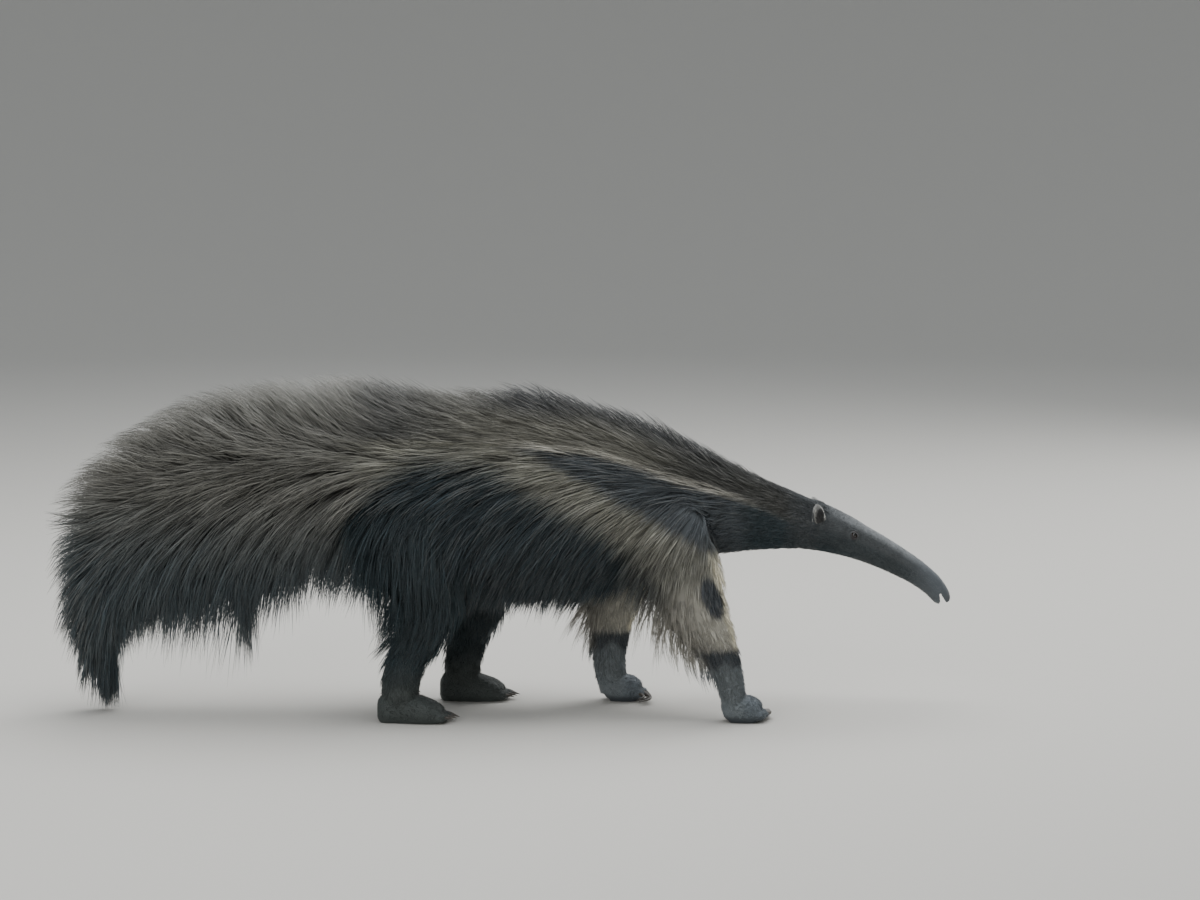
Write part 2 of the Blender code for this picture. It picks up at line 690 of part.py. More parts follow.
def make_claw(start, first, last, length, radius, skin):
    """A claw: a tapered horn that curves from its first direction to its last."""
    rings = []
    point = start.copy()
    steps = 3
    side = first.cross(last).normalized()
    for number in range(steps):
        time = number / steps
        along = (first * (1 - time) + last * time).normalized()
        over = side.cross(along)
        size = radius * (1 - 0.82 * time)
        rings.append(
            [
                point
                + side * size * 0.75 * math.cos(2 * math.pi * i / 5)
                + over * size * math.sin(2 * math.pi * i / 5)
                for i in range(5)
            ]
        )
        point = point + along * length / steps
    rings.append([point + (p - point) * 0.12 for p in rings[-1]])
    return new_object("claw", ring_mesh("claw", rings), skin)


def make_forefoot(name, rows, sign, skins):
    """The forefoot walks on its knuckles, with the great claws folded back and inwards."""
    wrist = section_at(rows, ANKLE)[0]
    inward = Vector((0, -sign, 0))
    foot = tube(name, rows, ANKLE, len(rows) - 1, 3, LEG_SIDES, skins["snout"], (True, False))
    middle = wrist.y - sign * 0.002
    paw_rows = [
        (wrist.x - 0.020, middle, 0.018, 0.014, 0.020),
        (wrist.x - 0.006, middle, 0.022, 0.031, 0.032),
        (wrist.x + 0.030, middle, 0.023, 0.034, 0.037),
        (wrist.x + 0.058, middle, 0.019, 0.029, 0.034),
        (wrist.x + 0.068, middle, 0.017, 0.018, 0.025),
    ]
    pieces = [tube("paw", paw_rows, 0, 4, 6, LEG_SIDES, skins["snout"], floor=0.0)]
    for number in range(4):
        across = (number - 1.5) * 0.017
        ahead = 0.012 - abs(number - 1.3) * 0.006
        knuckle = Vector((wrist.x + 0.060 + ahead, middle + across, 0.0165))
        pieces.append(
            ball("knuckle", knuckle, (0.015, 0.0095, 0.0125), skins["snout"], fine=6)
        )
        # the two middle claws are the great ones
        great = number in (1, 2)
        pieces.append(
            make_claw(
                knuckle + inward * 0.004 + Vector((0.003, 0, 0.002)),
                (inward * 0.8 + Vector((0.75, 0, -0.12))).normalized(),
                (inward * 0.45 + Vector((-1.0, 0, -0.02))).normalized(),
                0.088 if great else 0.045,
                0.0085 if great else 0.0055,
                skins["horn"],
            )
        )
    join(foot, pieces)
    return foot


def make_hindfoot(name, rows, sign, skins):
    """The hind foot stands flat from heel to toes, with five short claws."""
    ankle = section_at(rows, ANKLE)[0]
    foot = tube(name, rows, ANKLE, len(rows) - 1, 3, LEG_SIDES, skins["dark"], (True, False))
    paw_rows = [
        (ankle.x - 0.052, ankle.y, 0.026, 0.018, 0.016),
        (ankle.x - 0.038, ankle.y, 0.026, 0.035, 0.030),
        (ankle.x + 0.010, ankle.y, 0.026, 0.039, 0.037),
        (ankle.x + 0.060, ankle.y + sign * 0.003, 0.019, 0.030, 0.041),
        (ankle.x + 0.088, ankle.y + sign * 0.005, 0.013, 0.018, 0.034),
    ]
    pieces = [tube("sole", paw_rows, 0, 4, 6, LEG_SIDES, skins["dark"], floor=0.0)]
    for number in range(5):
        across = (number - 2) * 0.015
        ahead = 0.010 - abs(number - 2) * 0.006
        toe = Vector((ankle.x + 0.084 + ahead, ankle.y + sign * 0.005 + across, 0.0125))
        pieces.append(ball("toe", toe, (0.016, 0.0085, 0.0105), skins["dark"], fine=6))
        pieces.append(
            make_claw(
                toe + Vector((0.008, 0, 0.002)),
                Vector((1.0, 0, 0.10)).normalized(),
                Vector((0.8, 0, -0.42)).normalized(),
                0.026,
                0.0050,
                skins["horn"],
            )
        )
    join(foot, pieces)
    return foot


def make_leg(name, rows, trunk, skin):
    """A leg from where it leaves the trunk down to the wrist or ankle."""
    leg = tube(name, rows, 0, ANKLE, 9, LEG_SIDES, skin, (False, True))
    cut(leg, [swollen_copy(piece) for piece in trunk])
    return leg


def place_on_origin():
    """Moves all pieces so that the bottom centre of their box is the origin."""
    meshes = [thing.data for thing in bpy.data.objects]
    points = np.array([vert.co for mesh in meshes for vert in mesh.vertices])
    low, high = points.min(axis=0), points.max(axis=0)
    middle = (low + high) / 2
    for mesh in meshes:
        mesh.transform(Matrix.Translation((-middle[0], -middle[1], -low[2])))


def main():
    clear_scene()
    draw = random.Random(7)
    skins = {
        "coat": material("grizzled coat", GRIZZLED, 0.85),
        "dark": material("dark coat", DARK, 0.85),
        "pale": material("pale coat", PALE, 0.85),
        "snout": material("short grey coat", SNOUT, 0.75),
        "eye": material("eye", EYE, 0.12),
        "horn": material("claw horn", PALE, 0.45),
    }
    rows = spine_rows()
    legs = {
        "foreleg_right": (leg_rows(RIGHT_FORE, -1), -1),
        "foreleg_left": (leg_rows(LEFT_FORE, 1), 1),
        "hindleg_right": (leg_rows(RIGHT_HIND, -1), -1),
        "hindleg_left": (leg_rows(LEFT_HIND, 1), 1),
    }
    both = (True, True)
    sides = SPINE_SIDES
    coat = skins["coat"]
    trunk = [
        tube("tail_end", rows, 0, TAIL_END, 8, sides, coat, (False, True)),
        tube("tail_middle", rows, TAIL_END, TAIL_MIDDLE, 4, sides, coat, both),
        tube("tail_root", rows, TAIL_MIDDLE, TAIL_ROOT, 4, sides, coat, both),
        tube("torso", rows, TAIL_ROOT, NECK, 12, sides, coat, both),
        tube("neck", rows, NECK, HEAD, 6, sides, coat, both),
    ]
    head = make_head(rows, skins)
    make_mouth(head, rows, skins)
    make_ears(rows, head, skins)
    grown = []
    for name, (leg, sign) in legs.items():
        fore = name.startswith("fore")
        skin = skins["pale" if fore else "dark"]
        grown.append((make_leg(name, leg, trunk[2:], skin), leg, COATS[name.split("_")[0]]))
        foot_name = name.replace("leg", "foot")
        make_foot = make_forefoot if fore else make_hindfoot
        make_foot(foot_name, leg, sign, skins)
    grown += [(piece, rows, COATS[piece.name]) for piece in trunk]
    plain = [tube("plain", rows, 0, SNOUT_TIP, 60, sides, coat)]
    plain += [tube("plain", leg, 0, len(leg) - 1, 16, LEG_SIDES, coat) for leg, _ in legs.values()]
    body = form_of(plain)
    for form in plain:
        bpy.data.objects.remove(form)
    for piece, tube_rows, coats in grown:
        others = [form_of([thing]) for thing in bpy.data.objects if thing is not piece]
        side = -1 if piece.name.endswith("right") else 1
        grow(piece, tube_rows, coats, side, body, others, draw)
    place_on_origin()


main()
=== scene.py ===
import json
import math

import bmesh
import bpy
import numpy as np
from mathutils import Matrix, Vector
from mathutils.bvhtree import BVHTree

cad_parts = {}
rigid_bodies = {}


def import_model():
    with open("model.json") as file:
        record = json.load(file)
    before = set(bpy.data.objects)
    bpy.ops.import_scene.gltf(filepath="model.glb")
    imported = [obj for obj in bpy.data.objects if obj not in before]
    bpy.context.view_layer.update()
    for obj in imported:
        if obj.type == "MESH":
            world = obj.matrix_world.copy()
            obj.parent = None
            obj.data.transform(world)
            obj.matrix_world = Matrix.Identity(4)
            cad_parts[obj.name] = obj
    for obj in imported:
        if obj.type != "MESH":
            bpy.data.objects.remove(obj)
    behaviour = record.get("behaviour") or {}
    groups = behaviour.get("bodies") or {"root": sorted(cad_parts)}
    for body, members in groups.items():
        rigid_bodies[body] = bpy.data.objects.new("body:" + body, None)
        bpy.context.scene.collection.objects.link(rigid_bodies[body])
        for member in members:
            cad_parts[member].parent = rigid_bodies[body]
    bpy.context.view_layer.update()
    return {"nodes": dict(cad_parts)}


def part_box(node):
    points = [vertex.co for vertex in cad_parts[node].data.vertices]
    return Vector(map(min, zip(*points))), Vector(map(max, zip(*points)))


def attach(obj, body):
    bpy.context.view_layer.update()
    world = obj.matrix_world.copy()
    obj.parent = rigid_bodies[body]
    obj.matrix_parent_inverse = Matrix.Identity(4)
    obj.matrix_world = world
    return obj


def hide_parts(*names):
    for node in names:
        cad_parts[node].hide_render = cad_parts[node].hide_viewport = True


for thing in list(bpy.data.objects):
    bpy.data.objects.remove(thing)
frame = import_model()
print("frame loaded:", len(frame["nodes"]), "nodes")

# The body as the solids have it, but for a narrower near ankle. Each row has its forward place,
# height, half height and half width across
# the spine, then the depth of coat that the solid holds over the skin
bodyShape = {
    "squareness": 2.2,
    "widthShare": 0.8,  # of that depth, on the sides
    "eye": (17.42, 74, 0.0035),
    "spine": [
        (-0.888, 0.150, 0.012, 0.010, 0.004),
        (-0.874, 0.220, 0.036, 0.030, 0.014),
        (-0.840, 0.300, 0.064, 0.048, 0.028),
        (-0.780, 0.382, 0.096, 0.062, 0.040),
        (-0.688, 0.448, 0.126, 0.075, 0.048),
        (-0.570, 0.490, 0.144, 0.086, 0.050),
        (-0.450, 0.506, 0.142, 0.096, 0.045),
        (-0.330, 0.505, 0.132, 0.108, 0.036),
        (-0.220, 0.490, 0.160, 0.130, 0.032),
        (-0.090, 0.468, 0.185, 0.146, 0.028),
        (0.060, 0.462, 0.190, 0.150, 0.026),
        (0.200, 0.450, 0.178, 0.140, 0.024),
        (0.325, 0.442, 0.143, 0.116, 0.020),
        (0.440, 0.436, 0.104, 0.088, 0.014),
        (0.540, 0.428, 0.080, 0.068, 0.009),
        (0.635, 0.418, 0.062, 0.055, 0.005),
        (0.690, 0.406, 0.0530, 0.0500, 0.0025),
        (0.740, 0.389, 0.0455, 0.0440, 0.0015),
        (0.786, 0.369, 0.0385, 0.0355, 0.0012),
        (0.830, 0.348, 0.0340, 0.0305, 0.0010),
        (0.872, 0.325, 0.0300, 0.0270, 0.0008),
        (0.910, 0.301, 0.0265, 0.0245, 0.0006),
        (0.941, 0.275, 0.0235, 0.0225, 0.0004),
        (0.960, 0.250, 0.0195, 0.0200, 0.0003),
        (0.966, 0.238, 0.0110, 0.0130, 0.0),
    ],
    "legDepths": (0.012, 0.014, 0.014, 0.012, 0.009, 0.006, 0.003, 0.002, 0.0015),
    # legs: forward place, distance from the middle, height, half length and half width
    "rightFore": [
        (0.335, 0.050, 0.480, 0.080, 0.040),
        (0.360, 0.082, 0.410, 0.094, 0.058),
        (0.386, 0.100, 0.330, 0.096, 0.062),
        (0.412, 0.110, 0.255, 0.083, 0.056),
        (0.448, 0.115, 0.190, 0.061, 0.048),
        (0.475, 0.120, 0.140, 0.044, 0.041),
        (0.492, 0.120, 0.095, 0.033, 0.034),
        (0.501, 0.120, 0.055, 0.029, 0.031),
        (0.509, 0.120, 0.022, 0.029, 0.030),
    ],
    "leftFore": [
        (0.305, 0.050, 0.480, 0.080, 0.040),
        (0.300, 0.082, 0.410, 0.094, 0.058),
        (0.275, 0.100, 0.330, 0.090, 0.062),
        (0.248, 0.110, 0.255, 0.078, 0.056),
        (0.238, 0.115, 0.190, 0.058, 0.048),
        (0.238, 0.120, 0.140, 0.045, 0.041),
        (0.236, 0.120, 0.095, 0.037, 0.036),
        (0.240, 0.120, 0.055, 0.035, 0.034),
        (0.248, 0.120, 0.022, 0.034, 0.032),
    ],
    "rightHind": [
        (-0.225, 0.050, 0.520, 0.080, 0.040),
        (-0.200, 0.086, 0.440, 0.112, 0.060),
        (-0.168, 0.104, 0.355, 0.110, 0.068),
        (-0.148, 0.112, 0.275, 0.086, 0.058),
        (-0.166, 0.116, 0.200, 0.061, 0.046),
        (-0.198, 0.120, 0.140, 0.047, 0.040),
        (-0.212, 0.120, 0.090, 0.042, 0.038),
        (-0.215, 0.120, 0.050, 0.040, 0.036),
        (-0.210, 0.120, 0.022, 0.036, 0.032),
    ],
    "leftHind": [
        (-0.200, 0.050, 0.520, 0.080, 0.040),
        (-0.165, 0.086, 0.440, 0.110, 0.060),
        (-0.108, 0.104, 0.355, 0.105, 0.068),
        (-0.058, 0.112, 0.275, 0.085, 0.058),
        (-0.055, 0.116, 0.200, 0.061, 0.046),
        (-0.078, 0.120, 0.140, 0.047, 0.040),
        (-0.088, 0.120, 0.090, 0.042, 0.038),
        (-0.091, 0.120, 0.050, 0.040, 0.036),
        (-0.086, 0.120, 0.022, 0.036, 0.032),
    ],
}
legNames = ("rightFore", "leftFore", "rightHind", "leftHind")
lastPlace = len(bodyShape["spine"]) - 1


def unit(vectors):
    return vectors / np.maximum(np.linalg.norm(vectors, axis=-1, keepdims=True), 1e-9)


def smoothStep(low, high, values):
    share = np.clip((values - low) / (high - low), 0, 1)
    return share * share * (3 - 2 * share)


# Rows between the given ones, on the smooth curve through them
def rowsAt(rows, places):
    last = len(rows) - 1
    places = np.clip(np.asarray(places, float), 0, last)
    first = np.minimum(places.astype(int), last - 1)
    share = (places - first)[:, None]
    a, b = rows[first], rows[first + 1]
    before, after = rows[np.maximum(first - 1, 0)], rows[np.minimum(first + 2, last)]
    share2, share3 = share**2, share**3
    return (
        (2 * share3 - 3 * share2 + 1) * a
        + (share3 - 2 * share2 + share) * (b - before) / 2
        + (3 * share2 - 2 * share3) * b
        + (share3 - share2) * (after - a) / 2
    )


def sectionsAt(rows, places):
    places = np.asarray(places, float)
    row = rowsAt(rows, places)
    along = unit((rowsAt(rows, places + 0.02) - rowsAt(rows, places - 0.02))[:, :3])
    side = unit(np.array([0.0, 1.0, 0.0]) - along * along[:, 1:2])
    return row[:, :3], along, side, np.cross(along, side), row[:, 3], row[:, 4]


# Points of a tube's surface, the way each faces and the tube's own direction there. Angles
# count from the top (front of a leg) towards the left
def surfaceAt(rows, places, angles):
    centre, along, side, up, tall, wide = sectionsAt(rows, places)
    c, s = np.cos(angles), np.sin(angles)
    power = 2 / bodyShape["squareness"]
    upPart = np.sign(c) * np.abs(c) ** power * tall
    sidePart = np.sign(s) * np.abs(s) ** power * wide
    points = centre + up * upPart[:, None] + side * sidePart[:, None]
    outs = unit(up * (c * wide)[:, None] + side * (s * tall)[:, None])
    return points, outs, along


# The solids stand a little off these numbers, because their box is centred on the origin
spineSolid = np.array([(x, 0, z, tall, wide) for x, z, tall, wide, _ in bodyShape["spine"]])
eyePlace, eyeAngle, eyeSunk = bodyShape["eye"]
drawnEye, eyeOut, _ = surfaceAt(spineSolid, [eyePlace], np.array([math.radians(-eyeAngle)]))
shiftX = sum(corner.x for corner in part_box("eye_right")) / 2 - (drawnEye - eyeOut * eyeSunk)[0, 0]
shiftY = (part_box("eye_left")[0].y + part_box("eye_right")[1].y) / 2
spineDepths = np.array([row[4] for row in bodyShape["spine"]])
skinRows = {"spine": spineSolid.copy()}
for legName in legNames:
    sign = -1 if legName.startswith("right") else 1
    skinRows[legName] = np.array([(x, sign * y, z, a, b) for x, y, z, a, b in bodyShape[legName]])
for tubeName, rows in skinRows.items():
    depths = spineDepths if tubeName == "spine" else np.array(bodyShape["legDepths"])
    rows[:, 3] -= depths
    rows[:, 4] -= depths * bodyShape["widthShare"]
    rows[:, 0] += shiftX
    rows[:, 1] += shiftY
print("shape set, solids", round(shiftX * 1000, 2), "mm off the drawing")


# Small mesh helpers
def newObject(name, mesh, material=None):
    thing = bpy.data.objects.new(name, mesh)
    bpy.context.scene.collection.objects.link(thing)
    if material:
        mesh.materials.append(material)
    return thing


def meshFrom(name, points, faces):
    mesh = bpy.data.meshes.new(name)
    mesh.from_pydata([tuple(p) for p in points], [], faces)
    form = bmesh.new()
    form.from_mesh(mesh)
    bmesh.ops.recalc_face_normals(form, faces=form.faces)
    form.to_mesh(mesh)
    form.free()
    mesh.shade_smooth()
    return mesh


# A closed form through rings of points, with a fan over each end
def loft(name, rings):
    count, sides = rings.shape[:2]
    points = [*rings.reshape(-1, 3), rings[0].mean(0), rings[-1].mean(0)]
    faces = []
    for ring in range(count - 1):
        a, b = ring * sides, (ring + 1) * sides
        faces += [(a + i, a + (i + 1) % sides, b + (i + 1) % sides, b + i) for i in range(sides)]
    last = (count - 1) * sides
    for i in range(sides):
        j = (i + 1) % sides
        faces.append((j, i, count * sides))
        faces.append((last + i, last + j, count * sides + 1))
    return newObject(name, meshFrom(name, points, faces))


# A tube of the skin. tucks shrinks its ends a little, so that they slip into the next form
def tubeForm(name, rows, first, last, count, sides, tucks=(0, 0), tuckLength=0.5, shape=None):
    places = np.repeat(np.linspace(first, last, count), sides)
    angles = np.tile(np.arange(sides) * 2 * math.pi / sides, count)
    points, outs, _ = surfaceAt(rows, places, angles)
    if shape:
        points = points + outs * shape(places, angles)[:, None]
    centre = rowsAt(rows, places)[:, :3]
    shrink = 1 - tucks[0] * smoothStep(first + tuckLength, first, places)
    shrink -= tucks[1] * smoothStep(last - tuckLength, last, places)
    points = centre + (points - centre) * shrink[:, None]
    return loft(name, points.reshape(count, sides, 3))


def ellipsoid(name, centre, sizes, turn, fine=24):
    form = bmesh.new()
    bmesh.ops.create_uvsphere(form, u_segments=fine, v_segments=fine // 2, radius=1)
    for vert in form.verts:
        stretched = Vector([c * size for c, size in zip(vert.co, sizes)])
        vert.co = Vector(centre) + turn @ stretched
    mesh = bpy.data.meshes.new(name)
    form.to_mesh(mesh)
    form.free()
    mesh.shade_smooth()
    return newObject(name, mesh)


def axes(*columns):
    return Matrix([tuple(column) for column in columns]).transposed()


def keepModifiers(thing):
    graph = bpy.context.evaluated_depsgraph_get()
    made = bpy.data.meshes.new_from_object(thing.evaluated_get(graph))
    thing.modifiers.clear()
    thing.data = made


def combine(thing, others, operation, solver="MANIFOLD"):
    for number, other in enumerate(others):
        modifier = thing.modifiers.new(f"{operation} {number}", "BOOLEAN")
        modifier.operation = operation
        modifier.solver = solver
        modifier.object = other
    keepModifiers(thing)
    for other in others:
        bpy.data.objects.remove(other)


def joinLoose(things):
    bpy.ops.object.select_all(action="DESELECT")
    for thing in things:
        thing.select_set(True)
    bpy.context.view_layer.objects.active = things[0]
    bpy.ops.object.join()
    return things[0]


def remesh(thing, size):
    modifier = thing.modifiers.new("remesh", "REMESH")
    modifier.mode = "VOXEL"
    modifier.voxel_size = size
    modifier.use_smooth_shade = True
    keepModifiers(thing)


def pointsOf(mesh):
    points = np.empty(len(mesh.vertices) * 3)
    mesh.vertices.foreach_get("co", points)
    return points.reshape(-1, 3)


def setPoints(mesh, points):
    mesh.vertices.foreach_set("co", np.ascontiguousarray(points, float).ravel())
    mesh.update()


# Evens a surface out by moving each point towards its neighbours, where weights says so
def relax(mesh, times, weights=None, share=0.5):
    points = pointsOf(mesh)
    edges = np.empty(len(mesh.edges) * 2, int)
    mesh.edges.foreach_get("vertices", edges)
    edges = edges.reshape(-1, 2)
    count = np.bincount(edges.ravel(), minlength=len(points))[:, None]
    amount = share if weights is None else share * weights[:, None]
    for _ in range(times):
        total = np.zeros_like(points)
        for axis in range(3):
            total[:, axis] += np.bincount(edges[:, 0], points[edges[:, 1], axis], len(points))
            total[:, axis] += np.bincount(edges[:, 1], points[edges[:, 0], axis], len(points))
        points += (total / np.maximum(count, 1) - points) * amount
    setPoints(mesh, points)


# Tones as eight-bit screen values, turned to linear light
def tone(red, green, blue):
    values = np.array([red, green, blue]) / 255
    return np.where(values <= 0.04045, values / 12.92, ((values + 0.055) / 1.055) ** 2.4)


coatTones = {
    "crest": tone(50, 52, 53),
    "grizzled": tone(116, 115, 106),
    "rump": tone(84, 85, 83),
    "stripe": tone(78, 84, 88),
    "line": tone(186, 183, 173),
    "shoulder": tone(142, 141, 130),
    "flank": tone(41, 54, 60),
    "thigh": tone(43, 57, 62),
    "upperArm": tone(88, 88, 82),
    "tailTop": tone(132, 132, 127),
    "tailSide": tone(112, 111, 104),
    "tailLow": tone(68, 80, 85),
    "paleTip": tone(186, 184, 178),
    "forearm": tone(176, 173, 162),
    "forearmBack": tone(152, 149, 140),
    "foreEdge": tone(222, 216, 194),
    "spot": tone(68, 73, 78),
    "wrist": tone(64, 70, 75),
    "paw": tone(108, 115, 118),
    "toes": tone(98, 106, 112),
    "hindPaw": tone(66, 72, 70),
    "head": tone(76, 80, 82),
    # painted highlight: this pale tone on the top of the head and snout stands for sky sheen
    "headTopSheen": tone(140, 144, 146),
    "cheek": tone(54, 61, 64),
    "throat": tone(48, 61, 66),
    "muzzle": tone(90, 96, 101),
    "earRim": tone(192, 191, 185),
    "earInside": tone(46, 46, 46),
    "mouth": tone(40, 30, 30),
}

# Lines of the markings on the side: forward place and height
markings = {
    "stripeTop": [(-0.20, 0.600), (0.00, 0.598), (0.215, 0.572), (0.302, 0.543), (0.389, 0.510),
                  (0.508, 0.475), (0.584, 0.443), (0.66, 0.408)],
    "stripeLow": [(-0.05, 0.640), (0.020, 0.606), (0.128, 0.552), (0.215, 0.508), (0.302, 0.454),
                  (0.389, 0.403), (0.487, 0.341), (0.56, 0.26)],
    "darkTop": [(-0.34, 0.36), (-0.28, 0.50), (-0.15, 0.570), (0.0, 0.550), (0.077, 0.500),
                (0.215, 0.430), (0.30, 0.350), (0.36, 0.280), (0.42, 0.20)],
    "lineWidth": 0.0062,
    "spotPlace": (0.454, 0.275),
    "spotSize": (0.022, 0.045),
    "wristBand": (0.122, 0.158),
}


def lineAt(name, x):
    line = np.array(markings[name])
    return np.interp(x, line[:, 0], line[:, 1])


def mixed(a, b, share):
    return a * (1 - share[..., None]) + b * share[..., None]


# Colours of the trunk, tail and neck at points given in the drawing's own numbers
def trunkColours(points):
    x, z = points[..., 0] - shiftX, points[..., 2]
    tail = mixed(coatTones["tailLow"] + 0 * points, coatTones["tailSide"], smoothStep(0.30, 0.53, z))
    tail = mixed(tail, coatTones["tailTop"], smoothStep(0.50, 0.72, z))
    mane = smoothStep(0.040, 0.075, z - lineAt("stripeTop", x)) * smoothStep(-0.14, 0.06, x)
    back = mixed(coatTones["grizzled"] + 0 * points, coatTones["crest"], mane)
    back = mixed(back, coatTones["crest"], 0.75 * smoothStep(0.26, 0.46, x))
    back = mixed(back, coatTones["rump"], smoothStep(0.02, -0.25, x))
    aboveLine = smoothStep(-0.006, 0.006, z - lineAt("stripeTop", x))
    body = mixed(coatTones["shoulder"] + 0 * back, back, aboveLine)
    dark = smoothStep(0.035, -0.035, z - lineAt("darkTop", x))
    body = mixed(body, coatTones["flank"], dark)
    stripe = smoothStep(0.006, -0.006, z - lineAt("stripeTop", x))
    stripe *= smoothStep(-0.009, 0.009, z - lineAt("stripeLow", x)) * smoothStep(0.0, 0.06, x)
    body = mixed(body, coatTones["stripe"], stripe)
    throat = smoothStep(0.50, 0.56, x) * smoothStep(0.012, -0.012, z - lineAt("stripeTop", x))
    body = mixed(body, coatTones["throat"], throat)
    line = np.exp(-(((z - lineAt("stripeTop", x) - 0.004) / markings["lineWidth"]) ** 2))
    line *= smoothStep(-0.06, 0.10, x) * smoothStep(0.59, 0.46, x)
    body = mixed(body, coatTones["line"], line)
    body = mixed(body, coatTones["head"], smoothStep(0.60, 0.66, x))
    return mixed(tail, body, smoothStep(-0.34, -0.22, x))


def foreColours(points, rowsName="rightFore"):
    x, z = points[..., 0] - shiftX, points[..., 2]
    rows = np.array(bodyShape[rowsName])
    middle = np.interp(z, rows[::-1, 2], rows[::-1, 0])
    front = (x - middle) / np.interp(z, rows[::-1, 2], rows[::-1, 3])
    pale = mixed(coatTones["forearmBack"] + 0 * points, coatTones["forearm"], smoothStep(-0.6, 0.5, front))
    high = trunkColours(points)
    shoulder = smoothStep(0.25, 0.335, z - 0.04 * np.maximum(front, -1))
    colour = mixed(pale, high * 0.5 + coatTones["upperArm"] * 0.5, shoulder)
    colour = mixed(colour, high, smoothStep(0.36, 0.42, z))
    near = np.array(bodyShape["rightFore"])
    moved = middle - np.interp(z, near[::-1, 2], near[::-1, 0])
    placeX, placeZ = markings["spotPlace"]
    sizeX, sizeZ = markings["spotSize"]
    leaning = x - moved - placeX + (z - placeZ) * 0.30
    spot = (leaning / sizeX) ** 2 + ((z - placeZ) / sizeZ) ** 2
    away = np.abs(points[..., 1] - shiftY) - np.interp(z, rows[::-1, 2], rows[::-1, 1])
    edge = smoothStep(0.66, 0.82, front) * smoothStep(0.38, 0.34, z)
    colour = mixed(colour, coatTones["foreEdge"], edge)
    spotShare = smoothStep(1.25, 0.75, spot) * smoothStep(-0.030, -0.008, away)
    colour = mixed(colour, coatTones["spot"], spotShare)
    low, high = markings["wristBand"]
    # the dark band at the wrist is notched below
    low = low + 0.014 * np.exp(-(((front - 0.1) / 0.35) ** 2))
    band = smoothStep(low - 0.012, low - 0.004, z) * smoothStep(high + 0.008, high - 0.004, z)
    colour = mixed(colour, coatTones["wrist"], band * smoothStep(-1.3, -0.5, front))
    paw = mixed(coatTones["paw"] + 0 * points, coatTones["toes"], smoothStep(0.016, 0.050, x - rows[6, 0]))
    paw = mixed(paw, coatTones["wrist"], smoothStep(0.020, 0.006, z))
    return mixed(paw, colour, smoothStep(low - 0.006, low + 0.004, z))


def hindColours(points):
    z = points[..., 2]
    paw, thigh = coatTones["hindPaw"] + 0 * points, coatTones["thigh"] + 0 * points
    return mixed(paw, thigh, smoothStep(0.05, 0.15, z))


def headColours(points):
    x, z = points[..., 0] - shiftX, points[..., 2]
    middle = rowsAt(spineSolid, np.interp(x, spineSolid[:, 0], np.arange(len(spineSolid))).ravel())
    above = (z - middle[:, 2].reshape(z.shape)) / middle[:, 3].reshape(z.shape)
    colour = mixed(coatTones["cheek"] + 0 * points, coatTones["head"], smoothStep(-0.2, 0.35, above))
    # painted highlight: the top of the head and snout is mixed towards a pale tone, a painted sky sheen
    paintedSheen = smoothStep(0.55, 0.95, above) * smoothStep(0.66, 0.84, x) * 0.6
    colour = mixed(colour, coatTones["headTopSheen"], paintedSheen)
    colour = mixed(colour, coatTones["throat"], smoothStep(-0.5, -0.9, above) * smoothStep(0.80, 0.70, x))
    return mixed(colour, coatTones["muzzle"], smoothStep(0.86, 0.95, x))


# Makes a surface finer round some places, for folds too small for the rest of it
def refineNear(mesh, centres, radius, times):
    form = bmesh.new()
    form.from_mesh(mesh)
    for time in range(times):
        reach = radius * (1 - 0.22 * time)
        inside = {v for v in form.verts if any((v.co - centre).length < reach for centre in centres)}
        edges = [edge for edge in form.edges if edge.verts[0] in inside and edge.verts[1] in inside]
        bmesh.ops.subdivide_edges(form, edges=edges, cuts=1, use_grid_fill=True)
    bmesh.ops.triangulate(form, faces=[face for face in form.faces if len(face.verts) > 4])
    form.to_mesh(mesh)
    form.free()


# Head: folds, brow, cheeks and lids over the plain snout
headForm = {
    "first": 15.25,
    "rings": 190,
    "sides": 110,
    "voxel": 0.0018,
    "browLift": 0.0022,
    "cheekLift": 0.0018,
    "jawGroove": 0.0011,
    "foldDepth": 0.00045,
}
eyeForm = {
    "place": 17.42,
    "angle": 74,
    "radius": 0.0085,
    "depth": 0.0023,
    "lid": 0.0014,
    "opening": (0.0072, 0.0046, 0.0070),
    "folds": [(0.0064, 0.0009, 0.0015), (0.0092, -0.0009, 0.0011), (0.0118, 0.0006, 0.0016),
              (0.0146, -0.0005, 0.0012)],  # distance from the middle, height and width of each
}
earForm = {
    "place": 15.9,
    "angle": 78,
    "height": 0.054,
    "outer": (0.0160, 0.0085),
    "inner": (0.0126, 0.0098),
}
mouthForm = {"depth": 0.034, "opening": 0.013, "line": 0.026}


def bump(places, angles, place, angle, length, width):
    turn = (angles - math.radians(angle) + math.pi) % (2 * math.pi) - math.pi
    return np.exp(-(((places - place) / length) ** 2) - (turn / math.radians(width)) ** 2)


